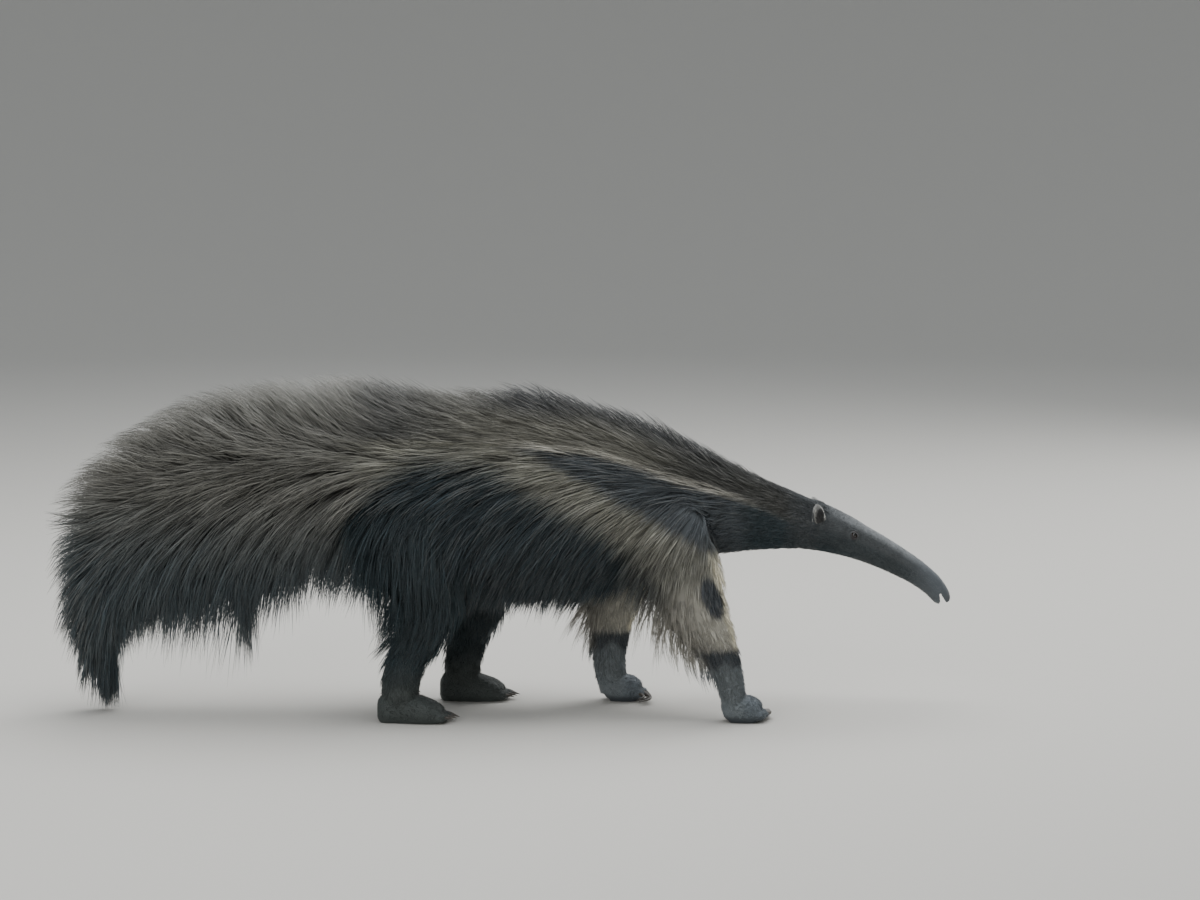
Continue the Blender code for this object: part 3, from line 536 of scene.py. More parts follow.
def headRelief(places, angles):
    form = headForm
    angles = np.abs((angles + math.pi) % (2 * math.pi) - math.pi)
    lift = form["browLift"] * bump(places, angles, 17.3, 52, 0.7, 13)
    lift += form["cheekLift"] * bump(places, angles, 16.6, 108, 1.0, 24)
    lift -= 0.0016 * bump(places, angles, 18.3, 74, 0.6, 17)
    lift -= form["jawGroove"] * np.exp(-(((angles - math.radians(124)) / 0.11) ** 2)) * (
        smoothStep(17.2, 18.2, places) * smoothStep(23.6, 22.8, places)
    )
    # two folds under the eye and faint rings across the snout
    fromTop = np.degrees(angles)
    under = np.exp(-(((places - 17.4) / 0.55) ** 2)) * smoothStep(150, 92, fromTop)
    lift += form["foldDepth"] * under * np.sin(fromTop * 0.62) * smoothStep(80, 92, fromTop)
    rings = np.sin(places * 19 + 1.5 * np.cos(angles * 3)) * np.sin(places * 7.3 + angles)
    return lift + 0.00022 * rings * smoothStep(18.5, 21, places)


def frameOnHead(place, degrees):
    point, out, along = surfaceAt(skinRows["spine"], [place], np.array([math.radians(degrees)]))
    return Vector(point[0]), Vector(out[0]), Vector(along[0])


def makeMouthCutters():
    tip, along, side, up, _, _ = sectionsAt(skinRows["spine"], [lastPlace - 0.2])
    tip, ahead, side, up = (Vector(v[0]) for v in (tip, along, side, up))
    depth, opening = mouthForm["depth"], mouthForm["opening"]
    rings = []
    for step in np.linspace(-mouthForm["line"], depth + 0.03, 34):
        # a thin line between the lips that widens into the open mouth
        open_ = max(step, 0) / depth
        top, low = 0.0007 + opening * 0.36 * open_**1.25, 0.0007 + opening * 0.66 * open_**1.1
        middle = tip + ahead * (step - depth) - up * 0.002
        ring = []
        for i in range(16):
            turn = 2 * math.pi * i / 16
            height = math.cos(turn)
            ring.append(middle + side * math.sin(turn) * 0.030 + up * height * (top if height > 0 else low))
        rings.append(ring)
    cutters = [loft("mouth", np.array(rings))]
    for sign in (-1, 1):
        place = tip + ahead * 0.0015 + up * 0.0066 + side * sign * 0.0098
        way = (ahead * 0.7 + side * sign + up * 0.15).normalized()
        across = way.cross(up).normalized()
        turn = axes(way, across, across.cross(way))
        cutters.append(ellipsoid("nostril", place, (0.0080, 0.0050, 0.0036), turn, 20))
    return cutters


def makeEar(sign):
    form = earForm
    base, out, _ = frameOnHead(form["place"], sign * form["angle"])
    rise = (out * 0.34 + Vector((-0.12, 0, 0.9))).normalized()
    way = Vector((0.72, sign * 0.70, 0.0))
    way = (way - rise * way.dot(rise)).normalized()
    turn = axes(rise.cross(way), way, rise)
    half = form["height"] / 2
    centre = base + rise * form["height"] * 0.32
    ear = ellipsoid("ear", centre, (form["outer"][0], form["outer"][1], half), turn, 40)
    # narrower at the root, with a slightly pointed top that leans back
    for vert in ear.data.vertices:
        offset = vert.co - centre
        high = offset.dot(rise) / half
        across = offset.dot(turn.col[0])
        vert.co -= turn.col[0] * across * max(0.0, -high) * 0.45
        vert.co -= way * 0.004 * max(0.0, high) ** 2
    hollow = ellipsoid("hollow", centre + way * 0.0074 + rise * 0.0015,
                       (form["inner"][0], form["inner"][1], half - 0.0042), turn, 36)
    combine(ear, [hollow], "DIFFERENCE", "EXACT")
    return ear, (centre, turn)


def makeHead():
    form = headForm
    head = tubeForm("head", skinRows["spine"], form["first"], lastPlace, form["rings"], form["sides"],
                    tucks=(0.05, 0), shape=headRelief)
    combine(head, makeMouthCutters(), "DIFFERENCE", "EXACT")
    loose, eyes, ears = [head], [], []
    for sign in (-1, 1):
        point, out, along = frameOnHead(eyeForm["place"], sign * eyeForm["angle"])
        centre = point - out * eyeForm["depth"]
        turn = axes(along, out.cross(along), out)
        lid = eyeForm["radius"] + eyeForm["lid"]
        loose.append(ellipsoid("lid", centre, (lid * 1.22, lid * 1.05, lid), turn, 30))
        eyes.append((centre, turn))
        ear, place = makeEar(sign)
        loose.append(ear)
        ears.append(place)
    head = joinLoose(loose)
    remesh(head, form["voxel"])
    relax(head.data, 5)
    refineNear(head.data, [centre for centre, _ in eyes], 0.021, 2)
    points = pointsOf(head.data)
    for centre, turn in eyes:
        local = (points - np.array(centre)) @ np.array(turn @ Matrix.Rotation(math.radians(-14), 3, "Z"))
        away = np.hypot(local[:, 0] / 1.18, local[:, 1] / 0.86)
        lift = 0
        for radius, height, width in eyeForm["folds"]:
            lift = lift + height * np.exp(-(((away - radius) / width) ** 2))
        lift = lift * (local[:, 2] > -0.004) * (0.7 + 0.3 * np.sign(local[:, 1]))
        points += np.array(turn.col[2]) * lift[:, None]
    setPoints(head.data, points)
    cutters = []
    for centre, turn in eyes:
        opening = centre + turn.col[2] * eyeForm["radius"]
        slant = turn @ Matrix.Rotation(math.radians(-14), 3, "Z")
        cutters.append(ellipsoid("opening", opening, eyeForm["opening"], slant, 32))
        cutters.append(ellipsoid("socket", centre, (eyeForm["radius"] + 0.0002,) * 3, turn, 40))
    combine(head, cutters, "DIFFERENCE", "EXACT")
    return head, eyes, ears


# Feet. The forefeet walk on their knuckles with the great claws folded back; the hind feet
# stand on the whole sole
footForm = {
    "voxel": 0.0025,
    "ankle": 6,
    "forePaw": [(-0.012, 0.018, 0.013, 0.020), (0.000, 0.022, 0.028, 0.030),
                (0.032, 0.024, 0.034, 0.036), (0.058, 0.019, 0.028, 0.033), (0.066, 0.017, 0.018, 0.025)],
    "hindPaw": [(-0.052, 0.026, 0.018, 0.016), (-0.038, 0.026, 0.034, 0.029),
                (0.010, 0.026, 0.038, 0.036), (0.060, 0.019, 0.029, 0.040), (0.086, 0.013, 0.018, 0.033)],
    "knuckle": (0.0150, 0.0092, 0.0120),
    "toe": (0.0160, 0.0082, 0.0100),
    "greatClaw": (0.088, 0.0085),
    "smallClaw": (0.045, 0.0055),
    "hindClaw": (0.026, 0.0050),
}


def hornRings(start, first, last, length, radius, count=14, sides=12):
    side = first.cross(last).normalized()
    rings, point = [], start.copy()
    for number in range(count):
        time = number / (count - 1)
        along = (first * (1 - time) + last * time).normalized()
        over = side.cross(along)
        size = radius * (1 - 0.93 * time**1.3)
        ring = []
        for i in range(sides):
            turn = 2 * math.pi * i / sides
            deep = math.sin(turn) * (1.0 if math.sin(turn) > 0 else 0.72)
            ring.append(point + side * size * 0.72 * math.cos(turn) + over * size * deep)
        rings.append(ring)
        point = point + along * length / count
    return np.array(rings)


def makeFoot(legName):
    rows, form = skinRows[legName], footForm
    sign = -1 if legName.startswith("right") else 1
    fore = legName.endswith("Fore")
    ankle = Vector(rowsAt(rows, [form["ankle"]])[0, :3])
    inward = Vector((0, -sign, 0))
    loose = [tubeForm("shin", rows, 5.6, len(rows) - 1, 26, 36, tucks=(0.05, 0), tuckLength=0.4)]
    spread = 0.002 * -sign if fore else 0.004 * sign
    paw = np.array([(ankle.x + x, ankle.y + spread * (x > 0.04 or fore), z, tall, wide)
                    for x, z, tall, wide in form["forePaw" if fore else "hindPaw"]])
    loose.append(tubeForm("paw", paw, 0, 4, 26, 36))
    claws = []
    for number in range(4 if fore else 5):
        if fore:
            ahead = 0.072 - abs(number - 1.3) * 0.006
            knuckle = ankle + Vector((ahead, (number - 1.5) * 0.017 + spread, 0))
            knuckle.z = 0.0165
            loose.append(ellipsoid("knuckle", knuckle, form["knuckle"], Matrix.Identity(3)))
            great = number in (1, 2)
            claws.append(hornRings(
                knuckle + inward * 0.004 + Vector((0.003, 0, 0.002)),
                (inward * 0.8 + Vector((0.75, 0, -0.12))).normalized(),
                (inward * 0.45 + Vector((-1.0, 0, -0.02))).normalized(),
                *form["greatClaw" if great else "smallClaw"]))
        else:
            ahead = 0.094 - abs(number - 2) * 0.006
            toe = ankle + Vector((ahead, (number - 2) * 0.015 + sign * 0.005, 0))
            toe.z = 0.0125
            loose.append(ellipsoid("toe", toe, form["toe"], Matrix.Identity(3)))
            claws.append(hornRings(toe + Vector((0.008, 0, 0.002)), Vector((1.0, 0, 0.10)).normalized(),
                                   Vector((0.8, 0, -0.42)).normalized(), *form["hindClaw"]))
    foot = joinLoose(loose)
    remesh(foot, form["voxel"])
    relax(foot.data, 4)
    points = pointsOf(foot.data)
    points[:, 2] = np.maximum(points[:, 2], 0.0004)
    setPoints(foot.data, points)
    return foot, claws


# One skin over the whole body
head, eyePlaces, earPlaces = makeHead()
print("head formed:", len(head.data.polygons), "faces")
forms = {"spine": tubeForm("trunk", skinRows["spine"], 0, 15.95, 170, 56, tucks=(0, 0.05))}
clawRings = {}
feet = []
for legName in legNames:
    forms[legName] = tubeForm(legName, skinRows[legName], 0, 6.1, 40, 36, tucks=(0, 0.05), tuckLength=0.4)
    foot, clawRings[legName] = makeFoot(legName)
    feet.append(foot)
treeOf = {}
for name, form in forms.items():
    mesh = form.data
    formPoints = [v.co.copy() for v in mesh.vertices]
    treeOf[name] = BVHTree.FromPolygons(formPoints, [tuple(p.vertices) for p in mesh.polygons])
skin = forms["spine"]
skin.name = "skin"
combine(skin, [head, *[forms[legName] for legName in legNames], *feet], "UNION")
points = pointsOf(skin.data)
joins = np.zeros(len(points))
joint = rowsAt(skinRows["spine"], [15.6])[0, :3]
joins = np.maximum(joins, smoothStep(0.035, 0.012, np.abs(points[:, 0] - joint[0])) * (points[:, 2] > 0.3))
for legName in legNames:
    joint = rowsAt(skinRows[legName], [5.85])[0, :3]
    joins = np.maximum(joins, smoothStep(0.040, 0.020, np.linalg.norm(points - joint, axis=1)))
for legName in legNames:
    near = np.array([max(treeOf["spine"].find_nearest(point)[3], treeOf[legName].find_nearest(point)[3])
                     for point in points])
    joins = np.maximum(joins, smoothStep(0.022, 0.006, near))
relax(skin.data, 40, joins)
print("skin joined:", len(skin.data.polygons), "faces")
skinForm = bmesh.new()
skinForm.from_mesh(skin.data)
skinTree = BVHTree.FromBMesh(skinForm)
skinForm.free()
skinPoints = pointsOf(skin.data)


# Where each tube of the body lies on the unwrap that the baked colours use
unwrap = {
    "spine": (0.005, 0.005, 0.995, 0.44),
    "head": (0.005, 0.45, 0.695, 0.66),
    "ears": (0.705, 0.45, 0.995, 0.66),
    "rightFore": (0.005, 0.67, 0.495, 0.83),
    "leftFore": (0.505, 0.67, 0.995, 0.83),
    "rightHind": (0.005, 0.84, 0.495, 0.995),
    "leftHind": (0.505, 0.84, 0.995, 0.995),
    "patch": 0.003,
}


def unwrapAt(region, along, around):
    left, low, right, high = unwrap[region]
    across = left + (right - left) * np.clip(along, 0, 1)
    return np.stack([across, low + (high - low) * (around % 1)], axis=-1)


earCup = {"middle": (0, 0.0074, 0.0015), "skin": (0.0150, 0.0106, 0.0208), "fur": (0.0146, 0.0102, 0.0202)}


# How far out of an ear's cup points lie, 1 at its edge
def fromCup(local, layer):
    return np.linalg.norm((local - np.array(earCup["middle"])) / np.array(earCup[layer]), axis=-1)


# Writes one colour for each point of a mesh
def paintPoints(mesh, layerName, colours):
    layer = mesh.color_attributes.new(layerName, "FLOAT_COLOR", "POINT")
    opaque = np.concatenate([colours, np.ones((len(colours), 1))], 1)
    layer.data.foreach_set("color", opaque.astype(np.float32).ravel())


# Spreads count places evenly over a tube between two of its rows, by its surface
def scatter(rows, first, last, count, seed, evenness=0.6, bounds=None):
    steps = np.linspace(first, last, 160)
    row = rowsAt(rows, steps)
    length = np.linalg.norm(np.gradient(row[:, :3], axis=0), axis=1)
    area = np.cumsum(length * (row[:, 3] + row[:, 4]))
    area = (area - area[0]) / (area[-1] - area[0])
    number = np.arange(count) + seed * 1000.5
    jitter = np.random.default_rng(seed).uniform(-0.35, 0.35, (2, count)) / math.sqrt(count)
    places = np.interp((number * 0.7548776662 + jitter[0]) % 1, area, steps)
    turns = np.linspace(-math.pi, math.pi, 181)
    tall, wide = row[:, 3].mean(), row[:, 4].mean()
    speed = np.hypot(tall * np.sin(turns), wide * np.cos(turns)) ** evenness
    if bounds:
        start, end = (math.radians(bound) for bound in bounds)
        speed = speed * (np.abs(turns) >= start) * (np.abs(turns) <= end)
    around = np.cumsum(speed)
    around = (around - around[0]) / (around[-1] - around[0])
    angles = np.interp((number * 0.5698402910 + jitter[1]) % 1, around, turns)
    return places, angles


# The lie of the coat at places and angles of a tube: a length, a first and a last direction.
# Each is given for rows of hair at some angles round the tube, and blended between them
def lieAt(lie, places, degrees):
    angles = sorted(lie)
    values = []
    for angle in angles:
        table = np.array([(place, length, *start, *end) for place, length, start, end in lie[angle]])
        values.append(np.stack([np.interp(places, table[:, 0], table[:, i]) for i in range(1, 8)], axis=1))
    where = np.interp(degrees, angles, np.arange(len(angles)))
    first = np.minimum(where.astype(int), max(len(angles) - 2, 0))
    values = np.array(values)
    pick = np.arange(len(places))
    share = (where - first)[:, None]
    second = np.minimum(first + 1, len(angles) - 1)
    total = values[first, pick] * (1 - share) + values[second, pick] * share
    return total[:, 0], total[:, 1:4], total[:, 4:7]


def headings(alongs, outs, parts, third):
    return unit(alongs * parts[:, :1] + outs * parts[:, 1:2] + np.array(third) * parts[:, 2:3])


# Paths that leave their roots along starts, bend towards ends and stay off the skin
def combed(roots, starts, ends, lengths, steps, rooms):
    spots, times = [roots.copy()], (np.arange(steps) + 1) / steps
    point = roots.copy()
    for time in times:
        way = unit(starts * (1 - time) + ends * time)
        point = point + way * (lengths / steps)[:, None]
        for i in range(len(point)):
            near, normal, _, distance = skinTree.find_nearest(point[i], 0.07)
            if near is None:
                continue
            room = rooms[i] * min(1.0, 2.2 * time)
            if (Vector(point[i]) - near).dot(normal) < 0 or distance < room:
                point[i] = near + normal * room
        point[:, 2] = np.maximum(point[:, 2], 0.004)
        spots.append(point.copy())
    return np.stack(spots, axis=1)


# How high the coat stands along the back and how far it reaches behind the tail
coatEdge = {
    "top": [(-1.0, 0.470), (-0.969, 0.470), (-0.946, 0.500), (-0.891, 0.566), (-0.781, 0.630), (-0.694, 0.684),
            (-0.585, 0.712), (-0.434, 0.728), (-0.260, 0.746), (-0.174, 0.722), (-0.109, 0.706), (-0.044, 0.712),
            (0.064, 0.724), (0.128, 0.704), (0.215, 0.677), (0.302, 0.662), (0.388, 0.620), (0.432, 0.593),
            (0.562, 0.528), (0.671, 0.478), (0.80, 0.46)],
    "back": -0.962,
}


def trimmed(paths):
    behind = np.maximum(coatEdge["back"] - (paths[..., 0] - shiftX), 0)
    paths[..., 0] += behind - 0.028 * np.tanh(behind / 0.05)
    line = np.array(coatEdge["top"])
    base = np.interp(paths[..., 0] - shiftX, line[:, 0], line[:, 1]) - 0.015
    over = np.maximum(paths[..., 2] - base, 0)
    paths[..., 2] += 0.027 * np.tanh(over / 0.040) - over
    return paths


# Joined mesh of thin three-sided strands along paths, each a closed taper
def strandMesh(name, paths, outs, widths, profile, colours, patches, material):
    count, rings = paths.shape[0], paths.shape[1] - 1
    tangents = unit(np.gradient(paths, axis=1))[:, :rings]
    side = np.cross(tangents, outs[:, None, :] + np.array([0.013, 0.021, 0.017]))
    side = unit(side)
    over = np.cross(side, tangents)
    size = (widths[:, None] * np.asarray(profile)[None, :rings])[..., None]
    turns = np.radians([90, 210, 330])
    points = np.empty((count, rings * 3 + 1, 3), np.float32)
    for corner, turn in enumerate(turns):
        offset = side * math.cos(turn) * size * 0.58 + over * math.sin(turn) * size * 0.36
        points[:, corner : rings * 3 : 3] = paths[:, :rings] + offset
    points[:, -1] = paths[:, -1]
    quads = []
    for ring in range(rings - 1):
        for corner in range(3):
            other = (corner + 1) % 3
            quads.append((ring * 3 + corner, ring * 3 + 3 + corner, ring * 3 + 3 + other, ring * 3 + other))
    last = (rings - 1) * 3
    tips = [(last + corner, rings * 3, last + (corner + 1) % 3) for corner in range(3)]
    tips.append((0, 1, 2))
    step = points.shape[1]
    pattern = np.array([i for face in (*quads, *tips) for i in face])
    sizes = np.array([4] * len(quads) + [3] * len(tips))
    corners = (pattern[None, :] + (np.arange(count) * step)[:, None]).ravel()
    starts = np.cumsum(np.tile(sizes, count))
    mesh = bpy.data.meshes.new(name)
    mesh.vertices.add(count * step)
    mesh.vertices.foreach_set("co", points.ravel())
    mesh.loops.add(len(corners))
    mesh.loops.foreach_set("vertex_index", corners.astype(np.int32))
    mesh.polygons.add(len(starts))
    mesh.polygons.foreach_set("loop_start", (starts - np.tile(sizes, count)).astype(np.int32))
    mesh.update(calc_edges=True)
    mesh.shade_smooth()
    tint = np.ones((count, step, 4), np.float32)
    tint[:, : rings * 3, :3] = np.repeat(colours[:, :rings], 3, axis=1)
    tint[:, -1, :3] = colours[:, -1]
    layer = mesh.color_attributes.new("coatColour", "FLOAT_COLOR", "POINT")
    layer.data.foreach_set("color", tint.ravel())
    spot = np.zeros((step, 2))
    spot[: rings * 3, 0] = np.tile([-0.5, 0, 0.5], rings)
    spot[: rings * 3, 1] = np.repeat(np.arange(rings) / rings - 0.5, 3)
    spot[-1, 1] = 0.5
    places = patches[:, None, :] + spot[None] * unwrap["patch"]
    uv = mesh.uv_layers.new(name="OFBake")
    uv.data.foreach_set("uv", places.reshape(-1, 2)[corners].astype(np.float32).ravel())
    thing = newObject(name, mesh, material)
    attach(thing, "root")
    return thing


# Coat materials: the tint of each strand, broken up finely, with a dry or a silky finish
def coatMaterial(name, roughness, sheen):
    made = bpy.data.materials.new(name)
    made.use_nodes = True
    nodes, links = made.node_tree.nodes, made.node_tree.links
    shader = nodes["Principled BSDF"]
    tint = nodes.new("ShaderNodeAttribute")
    tint.attribute_name = "coatColour"
    noise = nodes.new("ShaderNodeTexNoise")
    noise.inputs["Scale"].default_value = 34
    noise.inputs["Detail"].default_value = 3
    where = nodes.new("ShaderNodeTexCoord")
    links.new(where.outputs["Object"], noise.inputs["Vector"])
    spread = nodes.new("ShaderNodeMapRange")
    spread.inputs["To Min"].default_value = 0.72
    spread.inputs["To Max"].default_value = 1.28
    links.new(noise.outputs["Fac"], spread.inputs["Value"])
    scaled = nodes.new("ShaderNodeVectorMath")
    scaled.operation = "SCALE"
    links.new(tint.outputs["Color"], scaled.inputs[0])
    links.new(spread.outputs["Result"], scaled.inputs["Scale"])
    links.new(scaled.outputs["Vector"], shader.inputs["Base Color"])
    shader.inputs["Roughness"].default_value = roughness
    shader.inputs["Specular IOR Level"].default_value = 0.35
    shader.inputs["Sheen Weight"].default_value = sheen
    shader.inputs["Sheen Roughness"].default_value = 0.4
    return made


def skinMaterial():
    made = coatMaterial("short hair over skin", 0.62, 0.12)
    nodes, links = made.node_tree.nodes, made.node_tree.links
    where = nodes.new("ShaderNodeTexCoord")
    stretch = nodes.new("ShaderNodeMapping")
    stretch.inputs["Scale"].default_value = (55, 320, 320)
    stretch.inputs["Rotation"].default_value = (0, math.radians(-28), 0)
    hairs = nodes.new("ShaderNodeTexNoise")
    hairs.inputs["Scale"].default_value = 2.2
    hairs.inputs["Detail"].default_value = 4
    creases = nodes.new("ShaderNodeTexVoronoi")
    creases.feature = "DISTANCE_TO_EDGE"
    creases.inputs["Scale"].default_value = 260
    bumpHairs = nodes.new("ShaderNodeBump")
    bumpHairs.inputs["Strength"].default_value = 0.55
    bumpHairs.inputs["Distance"].default_value = 0.0012
    bumpCreases = nodes.new("ShaderNodeBump")
    bumpCreases.inputs["Strength"].default_value = 0.08
    bumpCreases.inputs["Distance"].default_value = 0.0005
    links.new(where.outputs["Object"], stretch.inputs["Vector"])
    links.new(stretch.outputs["Vector"], hairs.inputs["Vector"])
    links.new(where.outputs["Object"], creases.inputs["Vector"])
    links.new(hairs.outputs["Fac"], bumpHairs.inputs["Height"])
    links.new(creases.outputs["Distance"], bumpCreases.inputs["Height"])
    links.new(bumpCreases.outputs["Normal"], bumpHairs.inputs["Normal"])
    links.new(bumpHairs.outputs["Normal"], nodes["Principled BSDF"].inputs["Normal"])
    return made


coatDry = coatMaterial("coarse coat", 0.58, 0.10)
coatShort = coatMaterial("short coat", 0.50, 0.15)

# Colours of the skin, darker than the coat above it
nearest = {}
for name in ("spine", *legNames):
    tree = treeOf[name]
    nearest[name] = np.array([tree.find_nearest(point)[3] for point in skinPoints])
legChoice = np.stack([nearest[name] for name in legNames])
whichLeg = legChoice.argmin(0)
x, z = skinPoints[:, 0] - shiftX, skinPoints[:, 2]
onLeg = (legChoice.min(0) < nearest["spine"]) | (z < 0.13)
onHead = (x > 0.62) & (z > 0.2)
tint = trunkColours(skinPoints) * 0.75
tint = mixed(tint, headColours(skinPoints) * 0.82, smoothStep(0.63, 0.66, x) * onHead)
for number, legName in enumerate(legNames):
    mask = onLeg & ~onHead & (whichLeg == number)
    shade = smoothStep(0.20, 0.09, z[mask])[:, None] * 0.15 + 0.75
    if legName.endswith("Fore"):
        tint[mask] = foreColours(skinPoints[mask], legName) * shade
    else:
        tint[mask] = hindColours(skinPoints[mask]) * shade
# dark inside the mouth, nostrils and ears
skinPlaces = np.interp(skinPoints[:, 0], skinRows["spine"][:, 0], np.arange(lastPlace + 1))
middle, _, sideways, upwards, tall, wide = sectionsAt(skinRows["spine"], skinPlaces)
offset = skinPoints - middle
inside = np.hypot(np.sum(offset * upwards, 1) / tall, np.sum(offset * sideways, 1) / wide)
tint = mixed(tint, coatTones["mouth"], smoothStep(0.90, 0.72, inside) * smoothStep(0.90, 0.93, x))
for centre, turn in earPlaces:
    local = (skinPoints - np.array(centre)) @ np.array(turn)
    near = (np.linalg.norm(local / np.array([0.021, 0.014, 0.028]), axis=1) < 1) & (local[:, 2] > -0.012)
    cup = fromCup(local, "skin")
    rim = smoothStep(1.03, 1.16, cup) * (1 - 0.6 * smoothStep(0.014, 0.022, local[:, 2]))
    ear = mixed(coatTones["earInside"] + 0 * tint, coatTones["earRim"], rim)
    tint = np.where(near[:, None], ear, tint)
for centre, turn in eyePlaces:
    away = np.linalg.norm(skinPoints - np.array(centre), axis=1)
    tint = mixed(tint, coatTones["mouth"], smoothStep(0.0115, 0.0092, away) * 0.8)
paintPoints(skin.data, "coatColour", tint)
skin.data.materials.clear()
skin.data.materials.append(skinMaterial())
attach(skin, "root")
fleshNodes = [name for name in frame["nodes"] if not name.startswith("eye")]
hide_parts(*fleshNodes)
print("skin coloured:", sum(len(p.vertices) - 2 for p in skin.data.polygons), "triangles")


# Turns clumps of hair into strands: each hair has its own root and leans into its clump's tip
def growClumps(name, rows, region, places, angles, lie, form, colourOf, material, seed, outerSign=0):
    draw = np.random.default_rng(seed)
    roots, outs, alongs = surfaceAt(rows, places, angles)
    keep = np.ones(len(roots), bool)
    for i in range(len(roots)):
        near, normal, _, distance = skinTree.find_nearest(roots[i], 0.02)
        close = near is not None and distance < form.get("reach", 0.004)
        keep[i] = close and normal.dot(Vector(outs[i])) > 0.2
    places, angles, roots, outs, alongs = (v[keep] for v in (places, angles, roots, outs, alongs))
    degrees = np.degrees((angles + math.pi) % (2 * math.pi) - math.pi)
    degrees = degrees * outerSign if outerSign else np.abs(degrees)
    lengths, starts, ends = lieAt(lie, places, degrees)
    lengths = lengths * draw.uniform(0.80, 1.15, len(roots))
    third = (-1.0, 0, 0) if outerSign else (0, 0, 1.0)  # backwards on a leg, upwards elsewhere
    starts, ends = headings(alongs, outs, starts, third), headings(alongs, outs, ends, third)
    wander = form.get("wander", 0.10)
    starts = unit(starts + draw.normal(0, wander, starts.shape))
    ends = unit(ends + draw.normal(0, wander, ends.shape))
    rings = form["rings"]
    rooms = draw.uniform(0.15, 1, len(roots)) ** 1.3 * np.minimum(form["depth"], lengths * 0.22) + 0.001
    paths = combed(roots, starts, ends, lengths, rings, rooms)
    each = form["perClump"]
    many = len(roots) * each
    clump = np.repeat(np.arange(len(roots)), each)
    # roots of the single hairs round the clump's own
    spreadAlong = draw.normal(0, form["spread"], many)
    spreadAcross = draw.normal(0, form["spread"], many)
    hairOuts, hairAlongs = outs[clump], alongs[clump]
    across = unit(np.cross(hairAlongs, hairOuts))
    shift = hairAlongs * spreadAlong[:, None] + across * spreadAcross[:, None]
    times = np.arange(rings + 1) / rings
    closing = 1 - form["clumping"] * times**0.9
    hairPaths = paths[clump] + shift[:, None, :] * closing[None, :, None]
    sunk = 0.0015 + 8 * (shift**2).sum(1)  # roots go under the skin
    hairPaths -= hairOuts[:, None, :] * sunk[:, None, None] * (times == 0)[None, :, None]
    # a little of its own bend and length
    bend = draw.normal(0, 1, (many, 3)) * form.get("bend", 0.05)
    stretch = draw.uniform(form.get("shortest", 0.72), 1.08, many)
    middle = hairPaths[:, :1]
    hairPaths = middle + (hairPaths - middle) * stretch[:, None, None]
    hairPaths += bend[:, None, :] * (lengths[clump] * stretch)[:, None, None] * (times**1.6)[None, :, None]
    hairPaths[:, 1:, 2] = np.maximum(hairPaths[:, 1:, 2], 0.003)
    hairPaths = trimmed(hairPaths)
    widths = form["width"] * draw.uniform(0.7, 1.25, many)
    # the markings are read between a hair's root and where it comes to lie
    seen = hairPaths * 0.75 + hairPaths[:, :1] * 0.25
    seen = seen + draw.normal(0, form.get("blur", 0.006), (many, 1, 3))
    colours = colourOf(seen)
    light = draw.normal(0, 0.17, many) + draw.normal(0, 0.09, len(roots))[clump]
    light = np.exp(light)[:, None] * (0.80 + 0.20 * smoothStep(0.0, 0.35, times))[None, :]
    colours = colours * light[..., None]
    greyed = draw.uniform(0, 1, many) < form.get("grizzle", 0.2)
    pale = greyed[:, None] * smoothStep(0.45, 0.8, times)[None, :]
    pale = pale * (0.25 + 0.75 * smoothStep(110, 45, np.abs(degrees)))[clump][:, None]
    colours = mixed(colours, coatTones["paleTip"], pale * form.get("paleness", 0.35))
    span = (places - form["unwrapFrom"]) / (form["unwrapTo"] - form["unwrapFrom"])
    patches = unwrapAt(region, span[clump], angles[clump] / (2 * math.pi) + 0.5)
    patches = patches + np.stack([spreadAlong, spreadAcross], 1) * 0.35
    thing = strandMesh(name, hairPaths, hairOuts, widths, form["profile"], colours, patches, material)
    print(name, "hairs:", many, "triangles:", many * (6 * rings - 2))
    return thing


